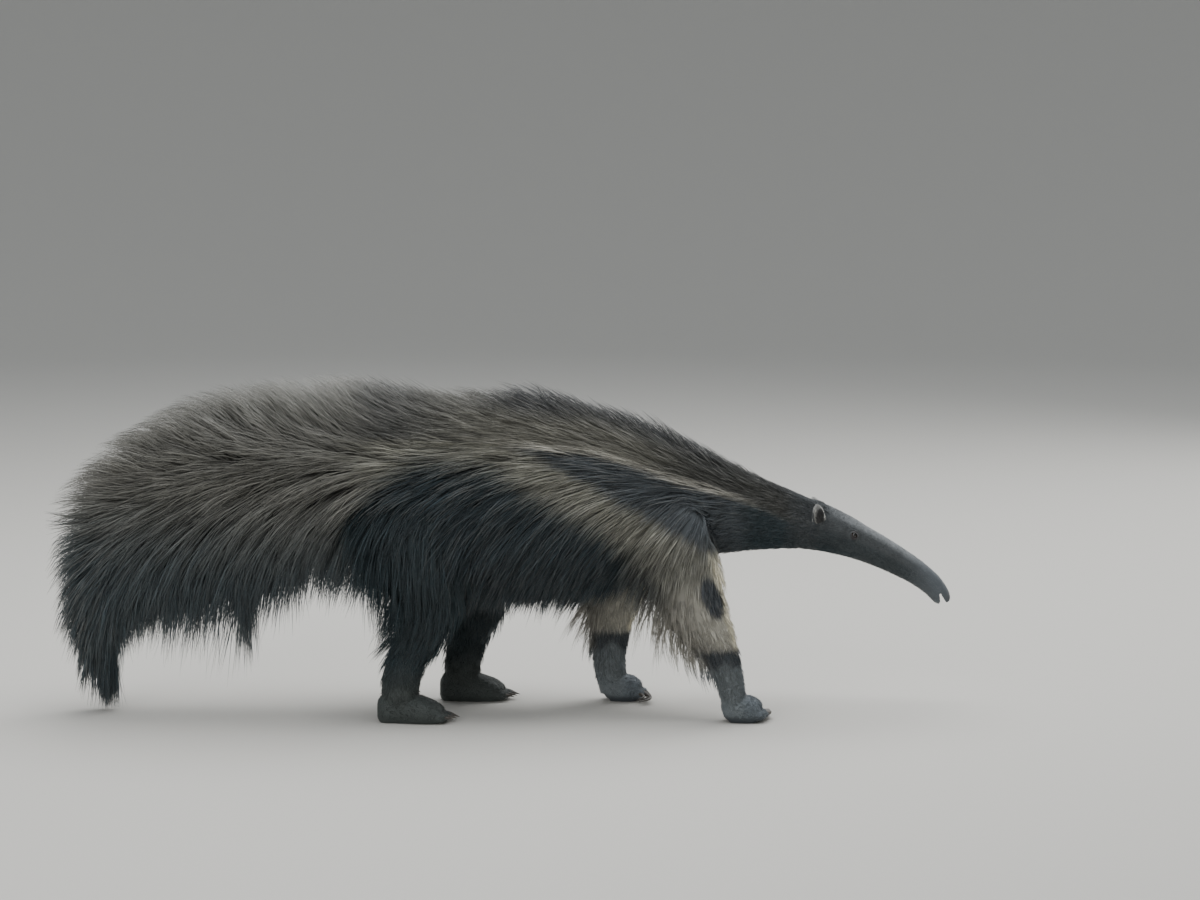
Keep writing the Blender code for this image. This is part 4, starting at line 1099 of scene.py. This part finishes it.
# The lie of the trunk's coat, tail first: place, length, first and last direction, each as
# towards the head, off the skin and up
trunkLie = {
    0: [
        (0.0, 0.12, (-0.95, 0.20, 0), (-1.00, -0.05, 0)),
        (1.0, 0.12, (-0.85, 0.45, 0), (-1.00, -0.10, 0)),
        (2.0, 0.145, (-0.50, 0.85, 0), (-0.95, 0.10, 0)),
        (3.0, 0.175, (-0.40, 0.90, 0), (-0.84, 0.42, 0)),
        (4.5, 0.18, (-0.40, 0.92, 0), (-0.78, 0.54, 0)),
        (6.0, 0.175, (-0.42, 0.90, 0), (-0.75, 0.59, 0)),
        (7.3, 0.178, (-0.40, 0.92, 0), (-0.73, 0.61, 0)),
        (8.2, 0.15, (-0.50, 0.87, 0), (-0.85, 0.45, 0)),
        (9.2, 0.13, (-0.55, 0.83, 0), (-0.88, 0.42, 0)),
        (10.4, 0.145, (-0.50, 0.87, 0), (-0.82, 0.50, 0)),
        (11.6, 0.148, (-0.45, 0.90, 0), (-0.78, 0.56, 0)),
        (12.6, 0.152, (-0.42, 0.92, 0), (-0.74, 0.62, 0)),
        (13.4, 0.125, (-0.45, 0.90, 0), (-0.78, 0.58, 0)),
        (14.2, 0.085, (-0.60, 0.78, 0), (-0.88, 0.42, 0)),
        (15.0, 0.045, (-0.80, 0.55, 0), (-0.97, 0.20, 0)),
        (15.6, 0.024, (-0.93, 0.32, 0), (-1.00, 0.07, 0)),
        (16.2, 0.012, (-0.95, 0.25, 0), (-1.00, 0.03, 0)),
    ],
    45: [
        (0.0, 0.12, (-0.95, 0.20, 0), (-1.00, -0.05, 0)),
        (1.0, 0.11, (-0.85, 0.40, 0), (-0.80, 0.00, -0.50)),
        (2.0, 0.145, (-0.60, 0.60, 0), (-0.95, 0.02, -0.20)),
        (3.0, 0.18, (-0.45, 0.60, 0.40), (-0.80, 0.06, 0.50)),
        (4.5, 0.18, (-0.40, 0.55, 0.60), (-0.66, 0.06, 0.68)),
        (6.0, 0.175, (-0.40, 0.50, 0.65), (-0.60, 0.06, 0.74)),
        (7.3, 0.17, (-0.42, 0.50, 0.60), (-0.66, 0.06, 0.62)),
        (8.2, 0.16, (-0.60, 0.50, 0.20), (-0.95, 0.05, 0.10)),
        (9.2, 0.13, (-0.70, 0.45, 0), (-1.00, 0.02, -0.12)),
        (10.4, 0.13, (-0.70, 0.45, 0), (-0.96, 0.02, -0.12)),
        (11.6, 0.12, (-0.70, 0.50, 0.10), (-0.96, 0.06, 0.06)),
        (12.6, 0.12, (-0.70, 0.50, 0.20), (-0.96, 0.08, 0.16)),
        (13.4, 0.09, (-0.78, 0.42, 0.15), (-0.97, 0.06, 0.12)),
        (14.2, 0.055, (-0.90, 0.32, 0.05), (-1.00, 0.03, 0.03)),
        (15.0, 0.028, (-0.95, 0.24, 0), (-1.00, 0.02, 0)),
        (16.2, 0.010, (-0.95, 0.20, 0), (-1.00, 0.02, 0)),
    ],
    90: [
        (0.0, 0.13, (-0.70, 0.30, -0.3), (-0.20, 0.00, -1.00)),
        (1.0, 0.12, (-0.80, 0.30, -0.30), (-0.30, 0.00, -1.00)),
        (2.0, 0.155, (-0.60, 0.45, -0.10), (-0.55, 0.00, -0.80)),
        (4.0, 0.20, (-0.60, 0.50, 0.15), (-0.80, 0.00, -0.30)),
        (6.0, 0.19, (-0.55, 0.50, 0.15), (-0.70, 0.00, -0.48)),
        (7.5, 0.18, (-0.55, 0.45, 0.00), (-0.55, 0.00, -0.80)),
        (9.0, 0.16, (-0.65, 0.38, -0.30), (-0.45, 0.00, -0.90)),
        (11.0, 0.15, (-0.70, 0.32, -0.30), (-0.55, 0.00, -0.85)),
        (12.3, 0.11, (-0.75, 0.28, -0.30), (-0.65, 0.00, -0.76)),
        (13.2, 0.050, (-0.90, 0.22, -0.15), (-0.92, 0.00, -0.35)),
        (14.2, 0.026, (-0.97, 0.16, 0), (-1.00, 0.00, -0.10)),
        (15.0, 0.016, (-0.97, 0.14, 0), (-1.00, 0.00, -0.05)),
        (16.2, 0.010, (-0.97, 0.12, 0), (-1.00, 0.00, 0)),
    ],
    135: [
        (0.0, 0.15, (-0.60, 0.30, -0.4), (0.00, 0.00, -1.00)),
        (2.0, 0.14, (-0.50, 0.45, -0.40), (-0.25, 0.00, -1.00)),
        (4.0, 0.215, (-0.40, 0.45, -0.50), (-0.16, 0.00, -1.00)),
        (6.0, 0.205, (-0.40, 0.45, -0.50), (-0.16, 0.00, -1.00)),
        (7.5, 0.16, (-0.50, 0.40, -0.40), (-0.28, 0.00, -1.00)),
        (9.0, 0.12, (-0.55, 0.38, -0.40), (-0.35, 0.00, -1.00)),
        (11.0, 0.10, (-0.60, 0.34, -0.40), (-0.42, 0.00, -1.00)),
        (12.3, 0.065, (-0.75, 0.26, -0.30), (-0.60, 0.00, -0.80)),
        (13.2, 0.026, (-0.92, 0.18, -0.10), (-0.96, 0.00, -0.20)),
        (14.2, 0.015, (-0.97, 0.13, 0), (-1.00, 0.00, -0.05)),
        (16.2, 0.009, (-0.97, 0.10, 0), (-1.00, 0.00, 0)),
    ],
    180: [
        (0.0, 0.16, (-0.60, 0.30, -0.2), (0.05, 0.00, -1.00)),
        (0.8, 0.11, (-0.30, 0.45, -0.6), (0.00, 0.00, -1.00)),
        (2.0, 0.125, (-0.35, 0.45, -0.60), (-0.12, 0.00, -1.00)),
        (3.0, 0.205, (-0.35, 0.45, -0.60), (-0.15, 0.00, -1.00)),
        (4.0, 0.255, (-0.35, 0.45, -0.60), (-0.15, 0.00, -1.00)),
        (4.6, 0.265, (-0.35, 0.45, -0.60), (-0.15, 0.00, -1.00)),
        (4.95, 0.305, (-0.35, 0.45, -0.60), (-0.12, 0.00, -1.00)),
        (5.3, 0.255, (-0.35, 0.45, -0.60), (-0.15, 0.00, -1.00)),
        (5.8, 0.235, (-0.35, 0.45, -0.60), (-0.15, 0.00, -1.00)),
        (6.5, 0.175, (-0.35, 0.45, -0.60), (-0.18, 0.00, -1.00)),
        (7.3, 0.17, (-0.40, 0.45, -0.55), (-0.20, 0.00, -1.00)),
        (8.0, 0.14, (-0.45, 0.45, -0.50), (-0.28, 0.00, -1.00)),
        (9.5, 0.095, (-0.50, 0.40, -0.50), (-0.35, 0.00, -1.00)),
        (11.5, 0.085, (-0.60, 0.35, -0.45), (-0.45, 0.00, -1.00)),
        (12.3, 0.055, (-0.80, 0.26, -0.30), (-0.65, 0.00, -0.80)),
        (13.2, 0.020, (-0.94, 0.16, -0.10), (-0.97, 0.00, -0.15)),
        (14.2, 0.013, (-0.97, 0.11, 0), (-1.00, 0.00, 0)),
        (16.2, 0.008, (-0.97, 0.10, 0), (-1.00, 0.00, 0)),
    ],
}
longHair = {"rings": 3, "profile": (0.65, 1.0, 0.72), "perClump": 10, "width": 0.0023, "spread": 0.0075,
            "clumping": 0.52, "unwrapFrom": 0, "unwrapTo": 16.5, "wander": 0.085, "bend": 0.05, "grizzle": 0.35}
bodyHair = {**longHair, "width": 0.0019, "spread": 0.0065}
crestHair = {**longHair, "width": 0.0019, "spread": 0.0060, "across": 42}
trunkCoats = [
    {"name": "tailTipHair", "places": (0.0, 2.7), "clumps": 500, "depth": 0.030, "seed": 1, **longHair},
    {"name": "tailHair", "places": (2.7, 4.4), "clumps": 580, "depth": 0.040, "seed": 2, **longHair},
    {"name": "tailRootHair", "places": (4.4, 6.3), "clumps": 600, "depth": 0.040, "seed": 3, **longHair},
    {"name": "rumpHair", "places": (6.3, 8.3), "clumps": 780, "depth": 0.034, "seed": 4, **bodyHair},
    {"name": "flankHair", "places": (8.3, 10.2), "clumps": 900, "depth": 0.030, "seed": 5, **bodyHair},
    {"name": "shoulderHair", "places": (10.2, 11.9), "clumps": 860, "depth": 0.024, "seed": 6, **bodyHair,
     "blur": 0.003},
    {"name": "chestHair", "places": (11.9, 13.6), "clumps": 720, "depth": 0.016, "seed": 8, **bodyHair,
     "blur": 0.002, "width": 0.0016, "spread": 0.0055, "grizzle": 0.15},
    {"name": "rumpCrestHair", "places": (4.8, 9.0), "clumps": 420, "depth": 0.040, "seed": 9, **crestHair},
    {"name": "maneHair", "places": (9.0, 14.3), "clumps": 620, "depth": 0.024, "seed": 10, **crestHair,
     "blur": 0.003, "grizzle": 0.14},
    {"name": "neckHair", "places": (13.6, 16.1), "clumps": 880, "depth": 0.006, "seed": 7, **bodyHair,
     "spread": 0.0042, "width": 0.0012, "wander": 0.05, "blur": 0.0015, "clumping": 0.35, "grizzle": 0.08},
]
# two tufts hang below the tail: the long one at its end and a short one halfway
hangingLie = {
    90: [(0.0, 0.165, (-0.20, 0.30, -0.9), (0.16, 0.00, -1.00)), (0.9, 0.16, (0.0, 0.30, -0.9), (-0.22, 0.0, -1.0)),
         (4.6, 0.28, (0.30, 0.30, -0.8), (0.26, 0.00, -1.00)), (5.2, 0.28, (-0.30, 0.30, -0.8), (-0.26, 0.00, -1.00))],
    180: [(0.0, 0.185, (-0.20, 0.30, -0.9), (0.16, 0.00, -1.00)), (0.9, 0.20, (0.0, 0.30, -0.9), (-0.22, 0.0, -1.0)),
          (4.6, 0.275, (0.30, 0.30, -0.8), (0.26, 0.00, -1.00)), (5.2, 0.275, (-0.30, 0.30, -0.8), (-0.26, 0.0, -1.0))],
}
tuftHair = {**longHair, "lie": hangingLie, "clumping": 0.75, "wander": 0.04, "bend": 0.03, "grizzle": 0.1,
            "width": 0.0017, "depth": 0.02, "beyond": 125}
trunkCoats += [
    {"name": "tailWispHair", "places": (0.05, 0.9), "clumps": 90, "seed": 12, **tuftHair},
    {"name": "tailTuftHair", "places": (4.82, 5.02), "clumps": 60, "seed": 13, **tuftHair},
]
for form in trunkCoats:
    bounds = (form.get("beyond", 0), form.get("across", 180))
    places, angles = scatter(skinRows["spine"], *form["places"], form["clumps"], form["seed"], bounds=bounds)
    growClumps(form["name"], skinRows["spine"], "spine", places, angles, form.get("lie", trunkLie), form,
               trunkColours, coatDry, form["seed"])

# Legs: place from the hip or shoulder down, then as above with onward down the leg
foreLie = {
    0: [(0.0, 0.10, (0.30, 0.25, 0.9), (0.45, 0.0, 0.9)), (1.0, 0.075, (0.60, 0.25, 0.6), (0.8, 0.0, 0.6)),
        (2.2, 0.042, (0.85, 0.22, 0.25), (1.0, 0.02, 0.25)), (4.5, 0.020, (0.95, 0.20, 0), (1.0, 0.01, 0.05)),
        (5.5, 0.013, (0.95, 0.16, 0), (1.0, 0.01, 0)), (6.5, 0.008, (0.95, 0.15, 0), (1.0, 0.01, 0))],
    90: [(0.0, 0.11, (0.25, 0.28, 0.9), (0.45, 0.0, 0.9)), (1.0, 0.09, (0.50, 0.26, 0.65), (0.7, 0.0, 0.7)),
         (2.2, 0.058, (0.80, 0.22, 0.35), (0.95, 0.0, 0.35)), (4.0, 0.030, (0.95, 0.20, 0.10), (1.0, 0.0, 0.15)),
         (5.5, 0.016, (0.95, 0.17, 0), (1.0, 0.0, 0)), (6.5, 0.009, (0.95, 0.15, 0), (1.0, 0.0, 0))],
    140: [(0.0, 0.11, (0.35, 0.35, 0.8), (0.5, 0.0, 0.85)), (1.2, 0.10, (0.60, 0.35, 0.5), (0.8, 0.02, 0.6)),
          (3.0, 0.080, (0.80, 0.35, 0.3), (0.9, 0.02, 0.35)), (4.5, 0.052, (0.85, 0.35, 0.1), (1.0, 0.05, 0.1)),
          (5.5, 0.024, (0.9, 0.25, 0), (1.0, 0.02, 0)), (6.5, 0.010, (0.95, 0.17, 0), (1.0, 0.0, 0))],
    180: [(0.0, 0.10, (0.4, 0.45, 0.5), (0.6, 0.0, 0.7)), (1.5, 0.12, (0.6, 0.50, 0.3), (0.8, 0.05, 0.4)),
          (3.0, 0.115, (0.65, 0.55, 0.2), (0.9, 0.10, 0.2)), (4.5, 0.085, (0.65, 0.55, 0.1), (1.0, 0.12, 0.1)),
          (5.5, 0.036, (0.75, 0.40, 0), (1.0, 0.06, 0)), (6.5, 0.011, (0.9, 0.22, 0), (1.0, 0.0, 0))],
    -90: [(0.0, 0.05, (0.9, 0.2, 0), (1.0, 0.0, 0)), (4.0, 0.028, (0.95, 0.18, 0), (1.0, 0.0, 0)),
          (6.5, 0.009, (0.95, 0.16, 0), (1.0, 0.0, 0))],
}
foreLie[-180] = foreLie[180]
hindLie = {
    0: [(0.0, 0.13, (0.35, 0.25, 0.8), (0.6, 0.0, 0.8)), (1.2, 0.11, (0.70, 0.25, 0.45), (0.9, 0.0, 0.4)),
        (3.0, 0.065, (0.90, 0.25, 0.15), (1.0, 0.02, 0.15)), (4.5, 0.036, (0.95, 0.22, 0), (1.0, 0.02, 0)),
        (5.5, 0.020, (0.95, 0.18, 0), (1.0, 0.01, 0)), (6.5, 0.009, (0.95, 0.16, 0), (1.0, 0.01, 0))],
    90: [(0.0, 0.15, (0.30, 0.28, 0.7), (0.7, 0.0, 0.7)), (1.2, 0.14, (0.70, 0.26, 0.45), (0.9, 0.0, 0.35)),
         (3.0, 0.090, (0.90, 0.25, 0.15), (1.0, 0.0, 0.12)), (4.5, 0.048, (0.95, 0.22, 0), (1.0, 0.0, 0)),
         (5.5, 0.024, (0.95, 0.18, 0), (1.0, 0.0, 0)), (6.5, 0.010, (0.95, 0.16, 0), (1.0, 0.0, 0))],
    180: [(0.0, 0.14, (0.5, 0.40, 0.4), (0.8, 0.0, 0.4)), (1.5, 0.15, (0.65, 0.45, 0.2), (0.9, 0.08, 0.2)),
          (3.0, 0.13, (0.70, 0.50, 0.1), (0.95, 0.10, 0.1)), (4.5, 0.080, (0.70, 0.50, 0), (1.0, 0.10, 0)),
          (5.5, 0.038, (0.75, 0.35, 0), (1.0, 0.06, 0)), (6.5, 0.011, (0.9, 0.22, 0), (1.0, 0.0, 0))],
    -90: [(0.0, 0.06, (0.9, 0.2, 0), (1.0, 0.0, 0)), (4.0, 0.036, (0.95, 0.18, 0), (1.0, 0.0, 0)),
          (6.5, 0.009, (0.95, 0.16, 0), (1.0, 0.0, 0))],
}
hindLie[-180] = hindLie[180]
legHair = {"rings": 3, "profile": (0.65, 1.0, 0.6), "perClump": 8, "width": 0.0015, "spread": 0.0045,
           "clumping": 0.35, "wander": 0.07, "bend": 0.05, "unwrapFrom": 0, "unwrapTo": 7.5, "depth": 0.010,
           "blur": 0.002, "reach": 0.008}
legCoats = {
    "rightFore": {"name": "forelegHairRight", "clumps": 560, "seed": 21, "grizzle": 0.25, "paleness": 0.3},
    "leftFore": {"name": "forelegHairLeft", "clumps": 560, "seed": 22, "grizzle": 0.25, "paleness": 0.3},
    "rightHind": {"name": "hindlegHairRight", "clumps": 560, "seed": 23, "grizzle": 0.06, "paleness": 0.2},
    "leftHind": {"name": "hindlegHairLeft", "clumps": 560, "seed": 24, "grizzle": 0.06, "paleness": 0.2},
}
for legName, extra in legCoats.items():
    form = {**legHair, **extra}
    fore = legName.endswith("Fore")
    colourOf = (lambda points, legName=legName: foreColours(points, legName)) if fore else hindColours
    places, angles = scatter(skinRows[legName], 0.15, 6.9, form["clumps"], form["seed"])
    growClumps(form["name"], skinRows[legName], legName, places, angles, foreLie if fore else hindLie, form,
               colourOf, coatDry, form["seed"],
               outerSign=-1 if legName.startswith("right") else 1)

# Hairs straight on the skin's own faces, for the head, the ears and the feet
def growOnFaces(name, chosen, count, form, wayOf, colourOf, region, patchOf, material, seed):
    draw = np.random.default_rng(seed)
    mesh = skin.data
    mesh.calc_loop_triangles()
    triangles = np.empty(len(mesh.loop_triangles) * 3, np.int32)
    mesh.loop_triangles.foreach_get("vertices", triangles)
    triangles = triangles.reshape(-1, 3)
    a, b, c = (skinPoints[triangles[:, i]] for i in range(3))
    normals = np.cross(b - a, c - a)
    area = np.linalg.norm(normals, axis=1)
    normals = normals / np.maximum(area, 1e-12)[:, None]
    centres = (a + b + c) / 3
    weight = area * chosen(centres, normals)
    pick = draw.choice(len(triangles), count, p=weight / weight.sum())
    first, second = draw.uniform(0, 1, count), draw.uniform(0, 1, count)
    over = first + second > 1
    first[over], second[over] = 1 - first[over], 1 - second[over]
    roots = a[pick] + (b - a)[pick] * first[:, None] + (c - a)[pick] * second[:, None]
    outs = normals[pick]
    ways = wayOf(roots, outs)
    ways = unit(ways - outs * np.sum(ways * outs, 1)[:, None] * 0.9)
    lengths = form["length"](roots) if callable(form["length"]) else form["length"]
    lengths = lengths * draw.uniform(0.6, 1.2, count)
    lift = form["lift"]
    rings = form["rings"]
    times = np.arange(rings + 1) / rings
    ways = unit(ways + draw.normal(0, form["wander"], ways.shape))
    reach = lengths[:, None] * times[None, :]
    paths = roots[:, None] + ways[:, None] * reach[..., None]
    risen = lift * lengths[:, None] * (times * (1.6 - 0.9 * times))[None, :]
    paths += outs[:, None] * (risen - 0.0004 * (times == 0)[None, :])[..., None]
    paths[..., 2] = np.maximum(paths[..., 2], 0.0006)
    widths = form["width"] * draw.uniform(0.7, 1.25, count)
    colours = colourOf(paths) * np.exp(draw.normal(0, 0.18, count))[:, None, None] * form.get("light", 1)
    patches = unwrapAt(region, *patchOf(roots))
    thing = strandMesh(name, paths, outs, widths, form["profile"], colours, patches, material)
    print(name, "hairs:", count)
    return thing


# Short, close fur of the head
def headPlace(roots):
    places = np.interp(roots[:, 0], skinRows["spine"][:, 0], np.arange(lastPlace + 1))
    middle, along, side, up, tall, wide = sectionsAt(skinRows["spine"], places)
    offset = roots - middle
    upPart, sidePart = np.sum(offset * up, 1) / tall, np.sum(offset * side, 1) / wide
    return places, along, np.arctan2(sidePart, upPart), np.hypot(upPart, sidePart)


def headShare(centres, normals):
    places, along, _, inside = headPlace(centres)
    share = (places > 15.0) & (places < 23.5) & (centres[:, 2] > 0.2) & (inside > 0.93)
    share &= np.sum(along * normals, 1) < 0.75
    for centre, _ in eyePlaces:
        share &= np.linalg.norm(centres - np.array(centre), axis=1) > 0.0112
    for centre, turn in earPlaces:
        local = (centres - np.array(centre)) @ np.array(turn)
        share &= (np.linalg.norm(local / np.array([0.019, 0.012, 0.028]), axis=1) > 1) | (local[:, 2] < -0.012)
    return share * (0.6 + 0.4 * smoothStep(18, 15, places))


def headWay(roots, outs):
    _, along, _, _ = headPlace(roots)
    return -along + np.array([0, 0, -0.25])


def headPatch(roots):
    places, _, angles, _ = headPlace(roots)
    return (places - 15) / 9, angles / (2 * math.pi) + 0.5


headFur = {"rings": 1, "profile": (1.0,), "width": 0.00085, "lift": 0.13, "wander": 0.10, "light": 1.2,
           "length": lambda roots: np.interp(headPlace(roots)[0], (15, 16.5, 18, 21, 23.5),
                                             (0.016, 0.011, 0.0075, 0.0058, 0.0042))}
growOnFaces("headFur", headShare, 29000, headFur, headWay, headColours, "head", headPatch, coatShort, 31)

earFur = {"rings": 1, "profile": (1.0,), "width": 0.0009, "length": 0.0068, "lift": 0.22, "wander": 0.12}
for side, (centre, turn) in zip(("Right", "Left"), earPlaces):
    axesOf, middle = np.array(turn), np.array(centre)

    def earShare(centres, normals):
        local = (centres - middle) @ axesOf
        near = (np.linalg.norm(local / np.array([0.0182, 0.0125, 0.029]), axis=1) < 1) & (local[:, 2] > -0.016)
        inner = fromCup(local, "fur")
        return near * (0.30 + 0.70 * (inner > 1.03))

    def earWay(roots, outs):
        local = (roots - middle) @ axesOf
        return np.tile(axesOf[:, 2], (len(roots), 1)) + axesOf[:, 0] * (local[:, :1] / 0.018) * 0.6

    def earTint(paths):
        local = (paths - middle) @ axesOf
        rim = smoothStep(-0.002, 0.004, local[..., 1]) + smoothStep(0.012, 0.020, local[..., 2])
        colour = mixed(coatTones["head"] * 0.8 + 0 * paths, coatTones["earRim"], np.clip(rim, 0, 1))
        cup = fromCup(local, "fur")
        colour = mixed(colour, coatTones["earInside"], smoothStep(1.06, 0.98, cup))
        return mixed(colour, coatTones["head"], 0.6 * smoothStep(0.014, 0.022, local[..., 2]))

    def earPatch(roots):
        local = (roots - middle) @ axesOf
        half = 0.0 if side == "Right" else 0.5
        return half + 0.25 + local[:, 0] / 0.1, (local[:, 2] / 0.06 + 0.5) * 0.9 + 0.05

    growOnFaces("earFur" + side, earShare, 2600, earFur, earWay, earTint, "ears", earPatch, coatShort, 41)

footFur = {"rings": 1, "profile": (1.0,), "width": 0.0011, "lift": 0.24, "wander": 0.14, "light": 1.15,
           "length": lambda roots: np.interp(roots[:, 2], (0.03, 0.10, 0.20), (0.007, 0.011, 0.018))}
for number, legName in enumerate(legNames):
    fore = legName.endswith("Fore")
    ankle = rowsAt(skinRows[legName], [6])[0, :3]

    def footShare(centres, normals):
        near = np.linalg.norm((centres - ankle)[:, :2], axis=1) < 0.14
        return near * (centres[:, 2] < 0.21) * (normals[:, 2] > -0.35) * (centres[:, 2] > 0.004)

    def footWay(roots, outs):
        ahead = smoothStep(0.075, 0.03, roots[:, 2])[:, None]
        return np.array([0.0, 0, -1.0]) * (1 - ahead) + np.array([1.0, 0, -0.25]) * ahead

    def footTint(paths):
        return foreColours(paths, legName) if fore else hindColours(paths)

    def footPatch(roots):
        local = roots - ankle
        around = np.arctan2(local[:, 1], local[:, 0]) / (2 * math.pi) + 0.5
        return 0.66 + 0.32 * np.clip(1 - roots[:, 2] / 0.21, 0, 1), around

    growOnFaces(legName + "FootFur", footShare, 8500, footFur, footWay, footTint, legName, footPatch, coatShort,
                50 + number)


# Claws of horn, grown in fine lengthwise streaks
def hornMaterial():
    made = bpy.data.materials.new("claw horn")
    made.use_nodes = True
    nodes, links = made.node_tree.nodes, made.node_tree.links
    shader = nodes["Principled BSDF"]
    where = nodes.new("ShaderNodeTexCoord")
    noise = nodes.new("ShaderNodeTexNoise")
    noise.inputs["Scale"].default_value = 420
    noise.inputs["Detail"].default_value = 5
    ramp = nodes.new("ShaderNodeValToRGB")
    ramp.color_ramp.elements[0].position, ramp.color_ramp.elements[1].position = 0.3, 0.75
    ramp.color_ramp.elements[0].color = (*tone(44, 42, 40), 1)
    ramp.color_ramp.elements[1].color = (*tone(98, 92, 84), 1)
    bumps = nodes.new("ShaderNodeBump")
    bumps.inputs["Strength"].default_value = 0.3
    bumps.inputs["Distance"].default_value = 0.0004
    links.new(where.outputs["Object"], noise.inputs["Vector"])
    links.new(noise.outputs["Fac"], ramp.inputs["Fac"])
    links.new(noise.outputs["Fac"], bumps.inputs["Height"])
    links.new(ramp.outputs["Color"], shader.inputs["Base Color"])
    links.new(bumps.outputs["Normal"], shader.inputs["Normal"])
    shader.inputs["Roughness"].default_value = 0.38
    return made


horn = hornMaterial()
for legName, rings in clawRings.items():
    claws = joinLoose([loft("claw", ring) for ring in rings])
    claws.name = legName + "Claws"
    claws.data.materials.clear()
    claws.data.materials.append(horn)
    points = pointsOf(claws.data)
    points[:, 2] = np.maximum(points[:, 2], 0.0005)
    setPoints(claws.data, points)
    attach(claws, "root")
print("claws made")

# Eyes: dark brown, wet, with a faint ring round the pupil
eyeLook = {"pupil": 0.42, "iris": 0.80, "brown": tone(46, 31, 22), "black": tone(10, 8, 8),
           "white": tone(70, 58, 50)}


def eyeMaterial():
    made = bpy.data.materials.new("wet eye")
    made.use_nodes = True
    nodes, links = made.node_tree.nodes, made.node_tree.links
    shader = nodes["Principled BSDF"]
    tint = nodes.new("ShaderNodeAttribute")
    tint.attribute_name = "eyeColour"
    links.new(tint.outputs["Color"], shader.inputs["Base Color"])
    shader.inputs["Roughness"].default_value = 0.06
    shader.inputs["IOR"].default_value = 1.38
    shader.inputs["Coat Weight"].default_value = 1.0
    shader.inputs["Coat Roughness"].default_value = 0.02
    return made


wetEye = eyeMaterial()
for side, (centre, turn) in zip(("right", "left"), eyePlaces):
    eye = ellipsoid("eye" + side.capitalize(), centre, (eyeForm["radius"],) * 3, turn, 48)
    points = pointsOf(eye.data)
    local = (points - np.array(centre)) @ np.array(turn) / eyeForm["radius"]
    gaze = np.arccos(np.clip(local[:, 2], -1, 1))
    points += (points - np.array(centre)) * (0.05 * smoothStep(0.75, 0.3, gaze))[:, None]
    setPoints(eye.data, points)
    irisShare = smoothStep(eyeLook["iris"] + 0.08, eyeLook["iris"], gaze)
    pupilShare = smoothStep(eyeLook["pupil"] + 0.1, eyeLook["pupil"] - 0.02, gaze)
    colour = mixed(eyeLook["white"] + 0 * points, eyeLook["brown"], irisShare)
    colour = mixed(colour, eyeLook["black"], pupilShare)
    paintPoints(eye.data, "eyeColour", colour)
    eye.data.materials.append(wetEye)
    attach(eye, "root")
    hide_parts("eye_" + side)
solidEye = (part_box("eye_right")[0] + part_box("eye_right")[1]) / 2
print("eyes set,", round((eyePlaces[0][0] - solidEye).length * 1000, 1), "mm off the solid one")

# Plain pale floor that bends up all round, soft light and the camera
stage = {"floorTone": tone(196, 194, 188), "reach": 13.0, "bend": 5.0, "wall": 9.0, "sides": 96}


def makeStage():
    profile = [(stage["reach"] - stage["bend"], 0.0)]
    for i in range(1, 17):
        turn = math.pi / 2 * i / 16
        outward = stage["reach"] - stage["bend"] * (1 - math.sin(turn))
        profile.append((outward, stage["bend"] * (1 - math.cos(turn))))
    profile.append((stage["reach"], stage["wall"]))
    sides = stage["sides"]
    points, faces = [], [tuple(range(sides))]
    for radius, z in profile:
        for i in range(sides):
            turn = 2 * math.pi * i / sides
            points.append((radius * math.cos(turn), radius * math.sin(turn), z))
    for i in range(len(profile) - 1):
        for j in range(sides):
            k = (j + 1) % sides
            faces.append((i * sides + j, i * sides + k, (i + 1) * sides + k, (i + 1) * sides + j))
    mesh = meshFrom("studioFloor", points, faces)
    made = bpy.data.materials.new("pale floor")
    made.use_nodes = True
    made.node_tree.nodes["Principled BSDF"].inputs["Base Color"].default_value = (*stage["floorTone"], 1)
    made.node_tree.nodes["Principled BSDF"].inputs["Roughness"].default_value = 0.9
    floor = newObject("studioFloor", mesh, made)


makeStage()
lamps = [
    {"name": "skyBox", "place": (0.2, 0.8, 4.6), "size": 5.0, "power": 330},
    {"name": "nearFill", "place": (-2.2, -5.0, 2.6), "size": 3.5, "power": 120},
    {"name": "farFill", "place": (3.4, 3.4, 2.4), "size": 3.0, "power": 70},
]
for lamp in lamps:
    light = bpy.data.lights.new(lamp["name"], "AREA")
    light.size = lamp["size"]
    light.energy = lamp["power"]
    thing = bpy.data.objects.new(lamp["name"], light)
    thing.location = lamp["place"]
    aim = Vector((0, 0, 0.4)) - Vector(lamp["place"])
    thing.rotation_euler = aim.to_track_quat("-Z", "Y").to_euler()
    bpy.context.scene.collection.objects.link(thing)
world = bpy.data.worlds.new("soft sky")
world.use_nodes = True
world.node_tree.nodes["Background"].inputs["Color"].default_value = (0.86, 0.92, 1.0, 1)
world.node_tree.nodes["Background"].inputs["Strength"].default_value = 0.55
bpy.context.scene.world = world

cameraSetup = {"place": (0.215, -7.5, 1.52), "downward": 7.19, "lens": 104.64, "sensor": 36}
cameraData = bpy.data.cameras.new("photoCamera")
cameraData.lens = cameraSetup["lens"]
cameraData.sensor_width = cameraSetup["sensor"]
camera = bpy.data.objects.new("photoCamera", cameraData)
x, y, z = cameraSetup["place"]
camera.location = (x + shiftX, y, z)
camera.rotation_euler = (math.radians(90 - cameraSetup["downward"]), 0, 0)
bpy.context.scene.collection.objects.link(camera)
bpy.context.scene.camera = camera

bpy.context.view_layer.update()
print("done")
